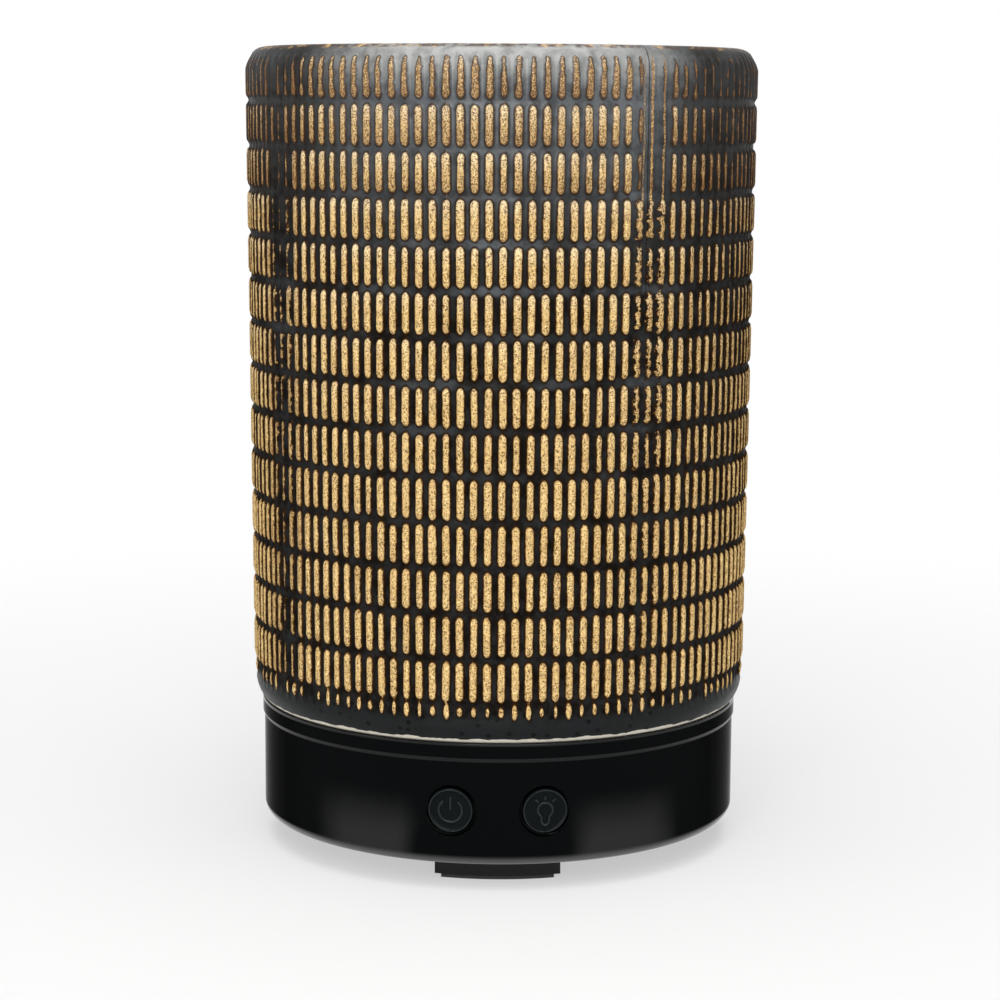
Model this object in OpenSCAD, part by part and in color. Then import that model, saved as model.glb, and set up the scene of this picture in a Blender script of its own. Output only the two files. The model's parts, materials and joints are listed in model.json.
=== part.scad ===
// Ultrasonic essential oil diffuser with a lift-off ceramic shade.
// Origin: centre of the table contact. +Z is up, the buttons face -Y and the power inlet faces +Y.

/* [Overall] */
// Height from the table to the top of the shade
total_h = 147; // [122:0.5:180]
// Radius of the shade near its top, where it is widest
shade_r = 47; // [46:0.2:57]

/* [Ceramic shade] */
// Thickness of the ceramic wall
shade_wall = 4; // [3:0.2:5]
// How much smaller the shade's radius is at the bottom of its side
shade_taper = 0.9; // [0:0.1:2]
// Radius of the rounded shoulder at the top
shoulder_r = 3.8; // [2:0.2:4]
// Radius of the curve that draws the shade in to its foot
foot_curve_r = 6.5; // [5:0.5:8]
// Height of that curve above the foot
foot_curve_h = 4.7; // [3:0.1:4.9]
// Radius of the hole in the top, where the mist leaves
mouth_r = 17; // [14:0.5:22]
// Number of raised rows around the side
row_count = 14; // [10:1:14]
// Height from one row to the next
row_pitch = 7.955; // [5:0.005:8]
// Depth of the groove between two rows
row_groove_depth = 0.45; // [0.2:0.05:0.8]
// Distance from the top of the shade to the first groove
first_groove_drop = 9.7; // [7:0.1:12]

/* [Base] */
// How far the base wall stands in from the widest part of the shade
base_inset = 2.7; // [2:0.1:4]
// Thickness of the moulded walls
base_wall = 2.2; // [1.8:0.1:2.8]
// Height of the lower housing
housing_h = 19.1; // [18.6:0.1:24]
// Height of the deck rim that the shade stands on
deck_h = 3; // [2.6:0.1:4]
// How far the deck rim stands proud of the housing
deck_lip = 0.3; // [0.1:0.1:0.6]
// Radius of the rounded bottom edge
bottom_edge_r = 2; // [1:0.2:3]

/* [Feet] */
// Number of feet
foot_count = 4; // [3:1:4]
// Height of each moulded foot
foot_h = 3.6; // [2:0.2:6]
// Thickness of the soft pad under each foot
pad_t = 1; // [0.8:0.1:2]
// Outer radius of the ring that the feet lie on
foot_r = 37.5; // [35:0.5:38]
// Width of each foot, measured outwards
foot_w = 10; // [6:0.5:10]
// Half the angle that each foot covers, in degrees
foot_half_deg = 17.4; // [12:0.2:20]

/* [Buttons] */
// Radius of each button
button_r = 4.02; // [3:0.02:4.6]
// Distance from the middle of the front to each button's centre
button_x = 8.3; // [7:0.1:9]
// Distance that a button travels when pressed
button_travel = 0.6; // [0.3:0.1:0.7]

/* [Tank] */
// Inside radius of the water tank
tank_r = 30; // [28:0.5:31]
// Depth of the water tank
tank_depth = 57; // [45:1:62]
// Thickness of the tank wall
tank_wall = 2.2; // [1.6:0.1:2.4]
// Inside radius of the riser that brings air up through the tank
riser_r = 3.5; // [3:0.1:3.8]
// Radius of the piezo disc
disc_r = 10; // [8:0.5:10]

/* [Mist cover] */
// Outer radius of the chimney
chimney_r = 10; // [8:0.5:12]
// Distance from the top of the shade down to the top of the chimney
chimney_drop = 9; // [7:0.5:15]
// Thickness of the cover
lid_wall = 1.6; // [1.2:0.1:2]

/* [Fan] */
// Side of the square fan
fan_side = 30; // [28:0.5:31]
// Thickness of the fan
fan_t = 8; // [7.6:0.1:8.4]
// Number of blades
blade_count = 7; // [5:1:9]

/* [Fits] */
// Gap between parts that are dropped or pushed together
loose_gap = 0.3; // [0.2:0.05:0.4]
// Gap around a shaft, pin or screw thread
close_gap = 0.05; // [0.03:0.01:0.08]

/* [Hidden] */
$fn = 96;
eps = 0.02;
// How far a cut runs past the face it opens
over = 1;

// Levels of the base, from the table up
housing_z = pad_t + foot_h;
floor_top = housing_z + base_wall;
parting_z = housing_z + housing_h;
seat_z = parting_z + deck_h;

// Radii of the base
base_r = shade_r - base_inset;
base_in_r = base_r - base_wall;
deck_r = base_r + deck_lip;

// Ceramic shade
shade_low_r = shade_r - shade_taper;
curve_centre_z = seat_z + foot_curve_h;
shoulder_z = total_h - shoulder_r;
shade_foot_in_r = deck_r - 3.6;
groove_r = 0.7;
min_round_r = 0.6;
// radius of the shade's side at height z
function side_r(z) = shade_low_r + shade_taper * (z - curve_centre_z) / (shoulder_z - curve_centre_z);

// Tank: it hangs through the deck on a flange
flange_t = 1.6;
seal_t = 0.8;
flange_z = seat_z - flange_t;
ledge_z = flange_z - seal_t;
tank_out_r = tank_r + tank_wall;
tank_floor_t = 2.4;
tank_drop = 1.8;
tank_z = ledge_z - tank_drop;
tank_floor_z = tank_z + tank_floor_t;
tank_rim_z = tank_floor_z + tank_depth;
flange_r = tank_out_r + 6.2;
tank_hole_r = tank_out_r + 0.4;
seal_in_r = tank_hole_r + loose_gap;
seal_w = 1;
tank_boss_r = 2.4;
tank_screw_r = flange_r - tank_boss_r - 0.2;
tank_boss_h = 4;
deck_ring_t = 2.1;
deck_ring_z = ledge_z - deck_ring_t;
deck_skirt_t = 1.6;
deck_through_h = deck_h + 5;
locator_h = 2.2;
locator_t = 1.2;
locator_gap = 0.6;
locator_r = shade_foot_in_r - locator_gap;
fill_line_h = 0.4;
fill_line_z = tank_floor_z + 35.4;
riser_wall = 1.5;
riser_y = tank_r - riser_r - 1.1;
riser_top_gap = 6;
riser_top_z = tank_rim_z - riser_top_gap;

// Piezo stack under the middle of the tank
well_r = disc_r - 2.5;
disc_t = 0.8;
piezo_seal_r = disc_r + 2;
piezo_seal_t = 2.4;
piezo_seal_z = tank_z - piezo_seal_t;
disc_z = piezo_seal_z + 0.75;
clamp_t = 1.6;
clamp_z = piezo_seal_z - clamp_t;
clamp_r = piezo_seal_r + 3.6;
clamp_boss_r = 1.7;
clamp_lip = 0.5;
piezo_seal_rim = 0.4;
clamp_screw_r = clamp_r - clamp_boss_r - 0.2;

// Ring of lights under the tank
led_ring_in = clamp_r + 2.4;
led_ring_out = led_ring_in + 9.8;
led_ring_r = (led_ring_in + led_ring_out) / 2;
led_board_t = 1.2;
led_boss_h = 2.4;
led_board_z = tank_z - led_boss_h - led_board_t;
led_boss_r = 2.2;
led_side = 3.5;
led_t = 1.6;
led_count = 6;
led_notch_w = 14;

// Screws: [thread radius, head radius, head height]
m3 = [1.5, 2.75, 1.8];
m25 = [1.25, 2.3, 1.6];
m2 = [1, 1.8, 1.2];
screw_slack = 0.25;
hold_gap = 0.02;
screw_end_gap = 0.2;
// How far the small screws bite into the part beyond the two they join
screw_bite = 1;

// Screws that hold the housing to the deck
housing_screw_r = base_in_r - 5.6;
housing_post_r = 3.6;
deck_boss_r = 3.4;
boss_meet_z = floor_top + 5.2;
housing_head_z = housing_z + 1.6;
housing_screw_len = 11;
housing_hole_h = 12;
deck_boss_hole_h = 9.5;
inner_edge_r = 1;

// Fan
fan_y = 10;
fan_lift = 0.5;
fan_z = floor_top + fan_lift;
fan_bore_r = fan_side / 2 - 1;
fan_hole_pitch = fan_side - 6;
fan_floor_t = 1.2;
fan_arm_w = 1.6;
fan_hole_floor = 0.6;
fan_hole_h = 10;
hub_r = 8.2;
hub_wall = 1;
hub_z = fan_z + 2;
hub_h = fan_t - 2.6;
bearing_tube_r = 2.1;
bearing_r = 1.65;
shaft_r = 0.8;
bearing_tube_h = 4.6;
bearing_z = fan_z + fan_floor_t;
bearing_h = 4.2;
shaft_lift = 0.4;
shaft_cap_t = 0.3;
stator_r = 6.4;
stator_h = 3;
blade_t = 1;
blade_tilt = 38;
blade_tip_r = fan_bore_r - 0.5;
fan_boss_r = 3;
grille_pitch = 4.2;
grille_slot = 2.2;
grille_edge = 0.6;

// Main circuit board
pcb_w = 41;
pcb_d = 20;
pcb_t = 1.6;
pcb_y = -19.5;
pcb_z = floor_top + 3;
pcb_top = pcb_z + pcb_t;
pcb_hole_x = pcb_w / 2 - 2.6;
pcb_hole_y = pcb_d / 2 - 2.6;
pcb_post_r = 2.3;
pcb_hole_floor = 1;
pcb_hole_h = 10;

// Buttons and their switches, measured back from the front wall
button_z = housing_z + 9.9;
button_flange_r = button_r + 1.3;
button_flange_t = 1;
pocket_y = -(base_in_r - 0.9);
flange_front_y = pocket_y + loose_gap;
flange_back_y = flange_front_y + button_flange_t;
button_hole_r = button_r + loose_gap - eps;
button_recess_r = button_r + 0.6;
button_recess_y = -(base_r - 1.9);
stem_r = 1.75;
stem_l = 3;
switch_front_y = flange_back_y + 1.5;
switch_side = 6;
switch_depth = 3.5;
switch_board_y = switch_front_y + switch_depth;
switch_board_t = 1.2;
switch_board_w = 32;
switch_board_h = 11;
switch_board_z = floor_top + 1.7;
switch_slot_gap = 0.1;
switch_slot_h = 20;
switch_rib_w = 3;
switch_rib_h = 10;
switch_rib_wall = 1.4;
switch_rib_grip = 0.6;
switch_clear = 0.1;
stem_grip = 1.5;
pocket_gap = 0.4;
pocket_depth = 6;
// The deck's skirt stops short of the buttons' flanges
deck_skirt_h = min(3.2, parting_z - button_z - button_flange_r - loose_gap);

// Power inlet in the rear wall
jack_z = housing_z + 9.9;
jack_nose_y = base_r - 0.4;
jack_nose_r = 4;
jack_bore_r = 3.15;
jack_w = 9;
jack_h = 10.8;
jack_back_y = jack_nose_y - 15.9;
jack_front_y = jack_nose_y - 3.6;
jack_bore_end_y = jack_back_y + 3;
jack_pin_r = 1;
jack_pin_end_y = jack_nose_y - 1;
jack_root_r = 0.8;
jack_hole_gap = 0.15;
jack_hole_depth = 3;
jack_root_end = 0.5;
cradle_wall = 1.5;
cradle_gap = 0.2;
cradle_l = 8;
cradle_h = 7;
cradle_in = 2;
pedestal_l = 6;
pedestal_in = 3;
terminal_x = [-2.6, 1.4];
terminal_size = [1.2, 2.2, 0.4];

// Mist cover
lid_flange_t = 2;
lid_skirt_h = 5;
lid_skirt_r = tank_r - 0.4;
dome_h = 17;
lid_top_z = total_h - chimney_drop;
lid_dome_z = tank_rim_z + lid_flange_t;
lid_dome_inset = 1.2;
lid_knee_drop = 1;

// A screw standing on its thread end, head upwards, thread end at the origin.
module screw(size, length) {
  slot_l = size[1] * 1.2;
  slot_w = size[1] * 0.26;
  slot_z = length + size[2] * 0.45;
  difference() {
    union() {
      cylinder(r = size[0], h = length + eps);
      translate([0, 0, length]) cylinder(r = size[1], h = size[2]);
    }
    for (turn = [0, 90])
      rotate([0, 0, turn])
        translate([-slot_l / 2, -slot_w / 2, slot_z]) cube([slot_l, slot_w, size[2]]);
  }
}

// A screw driven upwards, head underneath, head bottom at the origin.
module screw_up(size, length) {
  translate([0, 0, length + size[2]]) rotate([180, 0, 0]) screw(size, length);
}

// A flat ring.
module ring(outer, inner, h) {
  difference() {
    cylinder(r = outer, h = h);
    translate([0, 0, -over]) cylinder(r = inner, h = h + 2 * over);
  }
}

// A piece of a flat ring about the -Y direction.
module arc_block(outer, inner, half_deg, h) {
  reach = outer * 1.5;
  intersection() {
    ring(outer, inner, h);
    translate([0, 0, -over])
      linear_extrude(height = h + 2 * over)
        polygon([[0, 0], [-reach * sin(half_deg), -reach * cos(half_deg)],
                 [reach * sin(half_deg), -reach * cos(half_deg)]]);
  }
}

module at_angles(count, start, radius) {
  for (i = [0 : count - 1])
    rotate([0, 0, start + i * 360 / count]) translate([radius, 0, 0]) children();
}

module at_corners(dx, dy) {
  for (sx = [-1, 1]) for (sy = [-1, 1]) translate([sx * dx, sy * dy, 0]) children();
}

// A cylinder lying along Y between two Y values.
module y_rod(r, y0, y1) {
  translate([0, y1, 0]) rotate([90, 0, 0]) cylinder(r = r, h = y1 - y0);
}

/* ---- Ceramic shade ---- */

// Solid side profile, inset by the amount given
module shade_profile(inset) {
  top = total_h - inset;
  round_top = max(shoulder_r - inset, min_round_r);
  low = seat_z - (inset > 0 ? over : 0);
  intersection() {
    union() {
      polygon([[0, curve_centre_z], [shade_low_r - inset, curve_centre_z],
               [side_r(shoulder_z) - inset, top - round_top], [0, top - round_top]]);
      translate([0, top - round_top - eps])
        square([side_r(shoulder_z) - inset - round_top, round_top + eps]);
      translate([side_r(shoulder_z) - inset - round_top, top - round_top]) circle(r = round_top);
      translate([shade_low_r - foot_curve_r, curve_centre_z]) circle(r = foot_curve_r - inset);
      translate([0, low]) square([shade_low_r - foot_curve_r, curve_centre_z - low]);
    }
    translate([0, low]) square([shade_r + over, total_h]);
  }
}

module ceramic_shade() {
  color([0.22, 0.17, 0.12])
    rotate_extrude()
      difference() {
        shade_profile(0);
        shade_profile(shade_wall);
        translate([0, seat_z - over]) square([shade_foot_in_r, foot_curve_h + over]);
        translate([0, total_h - shade_wall - over]) square([mouth_r, shade_wall + 2 * over]);
        for (i = [0 : row_count - 1]) {
          z = total_h - first_groove_drop - i * row_pitch;
          translate([side_r(z) + groove_r - row_groove_depth, z]) circle(r = groove_r);
        }
      }
}

/* ---- Mist cover ---- */

module inner_lid() {
  dome_r = tank_out_r - lid_dome_inset;
  color([0.93, 0.94, 0.95])
    rotate_extrude()
      polygon([[lid_skirt_r, tank_rim_z - lid_skirt_h], [lid_skirt_r, tank_rim_z],
               [tank_out_r, tank_rim_z], [tank_out_r, lid_dome_z], [dome_r, lid_dome_z],
               [chimney_r, lid_dome_z + dome_h], [chimney_r, lid_top_z],
               [chimney_r - lid_wall, lid_top_z],
               [chimney_r - lid_wall, lid_dome_z + dome_h - lid_knee_drop],
               [lid_skirt_r - lid_wall, lid_dome_z - lid_knee_drop],
               [lid_skirt_r - lid_wall, tank_rim_z - lid_skirt_h]]);
}

/* ---- Water tank ---- */

module water_tank() {
  color([0.9, 0.93, 0.95, 0.6])
    difference() {
      union() {
        difference() {
          union() {
            translate([0, 0, tank_z]) cylinder(r = tank_out_r, h = tank_rim_z - tank_z);
            translate([0, 0, flange_z]) cylinder(r = flange_r, h = flange_t);
            at_angles(4, 0, tank_screw_r)
              translate([0, 0, flange_z]) cylinder(r = tank_boss_r, h = flange_t + tank_boss_h);
          }
          translate([0, 0, tank_floor_z]) cylinder(r = tank_r, h = tank_depth + over);
        }
        translate([0, riser_y, tank_z]) cylinder(r = riser_r + riser_wall, h = riser_top_z - tank_z);
        translate([0, 0, fill_line_z]) ring(tank_r + eps, tank_r - fill_line_h, fill_line_h);
        at_angles(3, 90, clamp_screw_r)
          translate([0, 0, piezo_seal_z]) cylinder(r = clamp_boss_r, h = piezo_seal_t + eps);
        at_angles(3, 30, led_ring_r)
          translate([0, 0, tank_z - led_boss_h]) cylinder(r = led_boss_r, h = led_boss_h + eps);
      }
      translate([0, 0, tank_z - over]) cylinder(r = well_r, h = tank_floor_t + 2 * over);
      translate([0, riser_y, tank_z - over]) cylinder(r = riser_r, h = riser_top_z);
      at_angles(4, 0, tank_screw_r)
        translate([0, 0, flange_z - over]) cylinder(r = m25[0] + close_gap, h = tank_boss_h + flange_t);
      at_angles(3, 90, clamp_screw_r)
        translate([0, 0, piezo_seal_z - over])
          cylinder(r = m2[0] + close_gap, h = piezo_seal_t + tank_floor_t);
      at_angles(3, 30, led_ring_r)
        translate([0, 0, tank_z - led_boss_h - over])
          cylinder(r = m2[0] + close_gap, h = led_boss_h + tank_floor_t);
    }
}

module tank_seal() {
  color([0.85, 0.85, 0.85])
    translate([0, 0, ledge_z]) ring(seal_in_r + seal_w, seal_in_r, seal_t);
}

module tank_screws() {
  color([0.6, 0.6, 0.62])
    at_angles(4, 0, tank_screw_r)
      translate([0, 0, deck_ring_z - m25[2]])
        screw_up(m25, flange_z + tank_boss_h - screw_end_gap - deck_ring_z);
}

/* ---- Base casing ---- */

module top_deck() {
  color([0.04, 0.04, 0.045])
    difference() {
      union() {
        translate([0, 0, parting_z]) cylinder(r = deck_r, h = deck_h);
        translate([0, 0, deck_ring_z])
          cylinder(r = base_in_r - loose_gap, h = parting_z - deck_ring_z + eps);
        translate([0, 0, parting_z - deck_skirt_h])
          ring(base_in_r - loose_gap, base_in_r - loose_gap - deck_skirt_t, deck_skirt_h);
        translate([0, 0, seat_z - eps]) ring(locator_r, locator_r - locator_t, locator_h + eps);
        at_angles(4, 45, housing_screw_r)
          translate([0, 0, boss_meet_z]) cylinder(r = deck_boss_r, h = deck_ring_z - boss_meet_z + eps);
      }
      translate([0, 0, deck_ring_z - over]) cylinder(r = tank_hole_r, h = deck_through_h);
      translate([0, 0, ledge_z]) cylinder(r = flange_r + loose_gap, h = deck_through_h);
      at_angles(4, 0, tank_screw_r)
        translate([0, 0, deck_ring_z - over]) cylinder(r = m25[0] + screw_slack, h = deck_h + 2 * over);
      at_angles(4, 45, housing_screw_r)
        translate([0, 0, boss_meet_z - over]) cylinder(r = m3[0] + close_gap, h = deck_boss_hole_h);
    }
}

// Outline of a plain cup with a rounded lower edge
module cup_profile(r, z, edge, top) {
  translate([0, z]) square([r - edge, top - z]);
  translate([0, z + edge]) square([r, top - z - edge]);
  translate([r - edge, z + edge]) circle(r = edge);
}

module housing_shell() {
  rotate_extrude()
    difference() {
      cup_profile(base_r, housing_z, bottom_edge_r, parting_z);
      cup_profile(base_in_r, floor_top, inner_edge_r, parting_z + over);
      translate([-bottom_edge_r - over, 0]) square([bottom_edge_r + over, parting_z + 2 * over]);
    }
}

module jack_cradle() {
  pedestal_top = jack_z - jack_h / 2;
  translate([-jack_w / 2, jack_back_y + pedestal_in, floor_top - eps])
    cube([jack_w, pedestal_l, pedestal_top - floor_top + eps]);
  for (side = [-1, 1])
    translate([side * (jack_w / 2 + cradle_gap + cradle_wall / 2) - cradle_wall / 2,
               jack_back_y + cradle_in, floor_top - eps])
      cube([cradle_wall, cradle_l, cradle_h]);
}

module switch_guide() {
  for (side = [-1, 1])
    translate([side * (switch_board_w / 2 - switch_rib_grip) - switch_rib_w / 2,
               switch_board_y - switch_rib_wall, floor_top - eps])
      cube([switch_rib_w, switch_board_t + 2 * switch_rib_wall, switch_rib_h]);
}

module lower_housing() {
  color([0.03, 0.03, 0.035])
    difference() {
      union() {
        housing_shell();
        for (i = [0 : foot_count - 1])
          rotate([0, 0, i * 360 / foot_count])
            translate([0, 0, pad_t]) arc_block(foot_r, foot_r - foot_w, foot_half_deg, foot_h + eps);
        at_angles(4, 45, housing_screw_r)
          translate([0, 0, floor_top - eps]) cylinder(r = housing_post_r, h = boss_meet_z - floor_top + eps);
        translate([0, pcb_y, floor_top - eps])
          at_corners(pcb_hole_x, pcb_hole_y) cylinder(r = pcb_post_r, h = pcb_z - floor_top + eps);
        translate([0, fan_y, floor_top - eps])
          at_corners(fan_hole_pitch / 2, fan_hole_pitch / 2) cylinder(r = fan_boss_r, h = fan_lift + eps);
        jack_cradle();
        switch_guide();
      }
      // countersunk way for each housing screw
      at_angles(4, 45, housing_screw_r) {
        translate([0, 0, housing_z - over])
          cylinder(r = m3[1] + loose_gap, h = housing_head_z - housing_z + m3[2] + over);
        translate([0, 0, housing_z]) cylinder(r = m3[0] + screw_slack, h = housing_hole_h);
      }
      translate([0, pcb_y, housing_z + pcb_hole_floor])
        at_corners(pcb_hole_x, pcb_hole_y) cylinder(r = m2[0] + close_gap, h = pcb_hole_h);
      translate([0, fan_y, housing_z + fan_hole_floor])
        at_corners(fan_hole_pitch / 2, fan_hole_pitch / 2)
          cylinder(r = m2[0] + close_gap, h = fan_hole_h);
      // air intake grille under the fan
      intersection() {
        translate([0, fan_y, housing_z - over])
          cylinder(r = fan_bore_r - grille_edge, h = base_wall + 2 * over);
        union() {
          for (i = [-3 : 3])
            translate([-fan_side / 2, fan_y + i * grille_pitch - grille_slot / 2, housing_z - over])
              cube([fan_side, grille_slot, base_wall + 2 * over]);
        }
      }
      // button holes, with a shallow recess outside and a flat pocket inside
      for (side = [-1, 1])
        translate([side * button_x, 0, button_z]) {
          y_rod(button_hole_r, -base_r - over, -base_r / 2);
          y_rod(button_recess_r, -base_r - over, button_recess_y);
          y_rod(button_flange_r + pocket_gap, pocket_y, -base_in_r + pocket_depth);
        }
      translate([0, 0, jack_z])
        y_rod(jack_nose_r + jack_hole_gap, base_in_r - jack_hole_depth, base_r + over);
      // slots that hold the ends of the switch board
      translate([-switch_board_w / 2 - switch_slot_gap, switch_board_y - close_gap, switch_board_z])
        cube([switch_board_w + 2 * switch_slot_gap, switch_board_t + 2 * close_gap, switch_slot_h]);
    }
}

module foot_pads() {
  inset = 1.3;
  inset_deg = 1.2;
  color([0.06, 0.06, 0.06])
    for (i = [0 : foot_count - 1])
      rotate([0, 0, i * 360 / foot_count])
        arc_block(foot_r - inset, foot_r - foot_w + inset, foot_half_deg - inset_deg, pad_t);
}

module housing_screws() {
  color([0.5, 0.5, 0.52])
    at_angles(4, 45, housing_screw_r)
      translate([0, 0, housing_head_z]) screw_up(m3, housing_screw_len);
}

/* ---- Piezo stack ---- */

module piezo_disc() {
  color([0.8, 0.68, 0.35])
    translate([0, 0, disc_z]) cylinder(r = disc_r, h = disc_t);
}

module piezo_seal() {
  color([0.75, 0.75, 0.76])
    translate([0, 0, piezo_seal_z])
      difference() {
        ring(piezo_seal_r - piezo_seal_rim, well_r, piezo_seal_t);
        translate([0, 0, disc_z - piezo_seal_z - close_gap])
          cylinder(r = disc_r + close_gap, h = disc_t + 2 * close_gap);
      }
}

module piezo_clamp() {
  color([0.7, 0.7, 0.72])
    difference() {
      translate([0, 0, clamp_z]) ring(clamp_r, well_r + clamp_lip, clamp_t);
      at_angles(3, 90, clamp_screw_r)
        translate([0, 0, clamp_z - over]) cylinder(r = m2[0] + screw_slack, h = clamp_t + 2 * over);
    }
}

module piezo_screws() {
  color([0.6, 0.6, 0.62])
    at_angles(3, 90, clamp_screw_r)
      translate([0, 0, clamp_z - m2[2]]) screw_up(m2, clamp_t + piezo_seal_t + screw_bite);
}

/* ---- Lights ---- */

module led_board() {
  color([0.9, 0.9, 0.88])
    difference() {
      translate([0, 0, led_board_z]) ring(led_ring_out, led_ring_in, led_board_t);
      translate([-led_notch_w / 2, led_ring_in - 2 * over, led_board_z - over])
        cube([led_notch_w, led_ring_out, led_board_t + 2 * over]);
      at_angles(3, 30, led_ring_r)
        translate([0, 0, led_board_z - over])
          cylinder(r = m2[0] + screw_slack, h = led_board_t + 2 * over);
    }
}

module leds() {
  color([1, 0.95, 0.7])
    at_angles(led_count, 0, led_ring_r)
      translate([-led_side / 2, -led_side / 2, led_board_z + led_board_t])
        cube([led_side, led_side, led_t]);
}

module led_screws() {
  color([0.6, 0.6, 0.62])
    at_angles(3, 30, led_ring_r)
      translate([0, 0, led_board_z - m2[2]]) screw_up(m2, led_board_t + led_boss_h + screw_bite);
}

/* ---- Fan ---- */

module fan_frame() {
  color([0.1, 0.1, 0.1])
    translate([0, fan_y, fan_z])
      difference() {
        union() {
          difference() {
            translate([-fan_side / 2, -fan_side / 2, 0]) cube([fan_side, fan_side, fan_t]);
            translate([0, 0, -over]) cylinder(r = fan_bore_r, h = fan_t + 2 * over);
          }
          cylinder(r = hub_r, h = fan_floor_t);
          cylinder(r = bearing_tube_r, h = fan_floor_t + bearing_tube_h);
          for (turn = [0 : 120 : 240])
            rotate([0, 0, turn])
              translate([hub_r - over, -fan_arm_w / 2, 0])
                cube([fan_bore_r - hub_r + 1.4 * over, fan_arm_w, fan_floor_t]);
        }
        translate([0, 0, fan_floor_t]) cylinder(r = bearing_r + close_gap, h = fan_t);
        at_corners(fan_hole_pitch / 2, fan_hole_pitch / 2)
          translate([0, 0, -over]) cylinder(r = m2[0] + screw_slack, h = fan_t + 2 * over);
      }
}

module fan_stator() {
  color([0.72, 0.4, 0.2])
    translate([0, fan_y, fan_z + fan_floor_t]) ring(stator_r, bearing_tube_r + close_gap, stator_h);
}

module fan_bearing() {
  color([0.8, 0.65, 0.3])
    translate([0, fan_y, bearing_z]) ring(bearing_r, shaft_r + close_gap, bearing_h);
}

module fan_shaft() {
  color([0.7, 0.7, 0.72])
    translate([0, fan_y, bearing_z + shaft_lift])
      cylinder(r = shaft_r, h = hub_z + hub_h - shaft_cap_t - bearing_z - shaft_lift);
}

module fan_rotor() {
  color([0.15, 0.15, 0.16])
    translate([0, fan_y, hub_z])
      difference() {
        union() {
          cylinder(r = hub_r, h = hub_h);
          intersection() {
            cylinder(r = blade_tip_r, h = hub_h - 0.2);
            for (i = [0 : blade_count - 1])
              rotate([0, 0, i * 360 / blade_count])
                translate([hub_r - 0.5, 0, hub_h / 2])
                  rotate([blade_tilt, 0, 0])
                    translate([0, -blade_t / 2, -hub_h])
                      cube([blade_tip_r - hub_r + 2 * over, blade_t, 2 * hub_h]);
          }
        }
        translate([0, 0, -over]) cylinder(r = hub_r - hub_wall, h = hub_h - hub_wall + over);
        translate([0, 0, -over]) cylinder(r = shaft_r + hold_gap, h = hub_h - shaft_cap_t + over);
      }
}

module fan_screws() {
  color([0.6, 0.6, 0.62])
    translate([0, fan_y, housing_z + fan_hole_floor + screw_end_gap])
      at_corners(fan_hole_pitch / 2, fan_hole_pitch / 2)
        screw(m2, fan_z + fan_t - housing_z - fan_hole_floor - screw_end_gap);
}

/* ---- Electronics ---- */

module main_pcb() {
  color([0.06, 0.3, 0.14])
    translate([0, pcb_y, pcb_z])
      difference() {
        translate([-pcb_w / 2, -pcb_d / 2, 0]) cube([pcb_w, pcb_d, pcb_t]);
        at_corners(pcb_hole_x, pcb_hole_y)
          translate([0, 0, -over]) cylinder(r = m2[0] + screw_slack, h = pcb_t + 2 * over);
      }
}

module pcb_screws() {
  color([0.6, 0.6, 0.62])
    translate([0, pcb_y, housing_z + pcb_hole_floor + screw_end_gap])
      at_corners(pcb_hole_x, pcb_hole_y)
        screw(m2, pcb_top - housing_z - pcb_hole_floor - screw_end_gap);
}

module capacitors() {
  can_r = 2.5;
  can_h = 5.6;
  color([0.1, 0.15, 0.35])
    for (x = [-12.5, -6])
      translate([x, pcb_y + 1.5, pcb_top]) cylinder(r = can_r, h = can_h);
}

module inductor() {
  core_r = 1.5;
  core_ring_r = 3;
  color([0.75, 0.42, 0.2])
    translate([7.5, pcb_y - 1, pcb_top])
      rotate_extrude() translate([core_ring_r, core_r]) circle(r = core_r);
}

module mosfet() {
  body = [6, 6, 1.4];
  tab = [5.2, 1.4, 0.6];
  color([0.08, 0.08, 0.08])
    translate([15.7, pcb_y - 1.5, pcb_top]) {
      translate([-body[0] / 2, -body[1] / 2, 0]) cube(body);
      translate([-tab[0] / 2, body[1] / 2 - eps, 0]) cube(tab);
    }
}

module ic_chips() {
  controller = [6, 4, 1.5];
  driver = [5, 4, 1.4];
  color([0.07, 0.07, 0.07]) {
    translate([-3.2, pcb_y + 2.6, pcb_top]) cube(controller);
    translate([-3, pcb_y - 8.2, pcb_top]) cube(driver);
  }
}

// Wire connectors along the front and rear edges of the board
connector_x = [-9, 9];
connector_size = [5.6, 3, 4];

module connectors() {
  color([0.93, 0.92, 0.88]) {
    for (x = connector_x)
      translate([x - connector_size[0] / 2, pcb_y + pcb_d / 2 - connector_size[1], pcb_top])
        cube(connector_size);
    for (x = connector_x)
      translate([x - connector_size[0] / 2, pcb_y - pcb_d / 2, pcb_top])
        cube(connector_size);
  }
}

module switch_board() {
  color([0.06, 0.3, 0.14])
    translate([-switch_board_w / 2, switch_board_y, switch_board_z])
      cube([switch_board_w, switch_board_t, switch_board_h]);
}

module tact_switches() {
  color([0.12, 0.12, 0.12])
    for (side = [-1, 1])
      translate([side * button_x, 0, button_z])
        difference() {
          translate([-switch_side / 2, switch_front_y, -switch_side / 2])
            cube([switch_side, switch_depth, switch_side]);
          y_rod(stem_r + close_gap, switch_front_y - over,
                switch_front_y + stem_l - stem_grip + button_travel + switch_clear);
        }
}

module switch_stem(side) {
  color([0.1, 0.1, 0.1])
    translate([side * button_x, 0, button_z]) y_rod(stem_r, flange_back_y, flange_back_y + stem_l);
}

module button(side) {
  color([0.05, 0.05, 0.055]) {
    intersection() {
      translate([side * button_x, 0, button_z]) y_rod(button_r, -base_r - over, flange_front_y + eps);
      cylinder(r = base_r, h = parting_z);
    }
    translate([side * button_x, 0, button_z]) y_rod(button_flange_r, flange_front_y, flange_back_y);
  }
}

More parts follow.
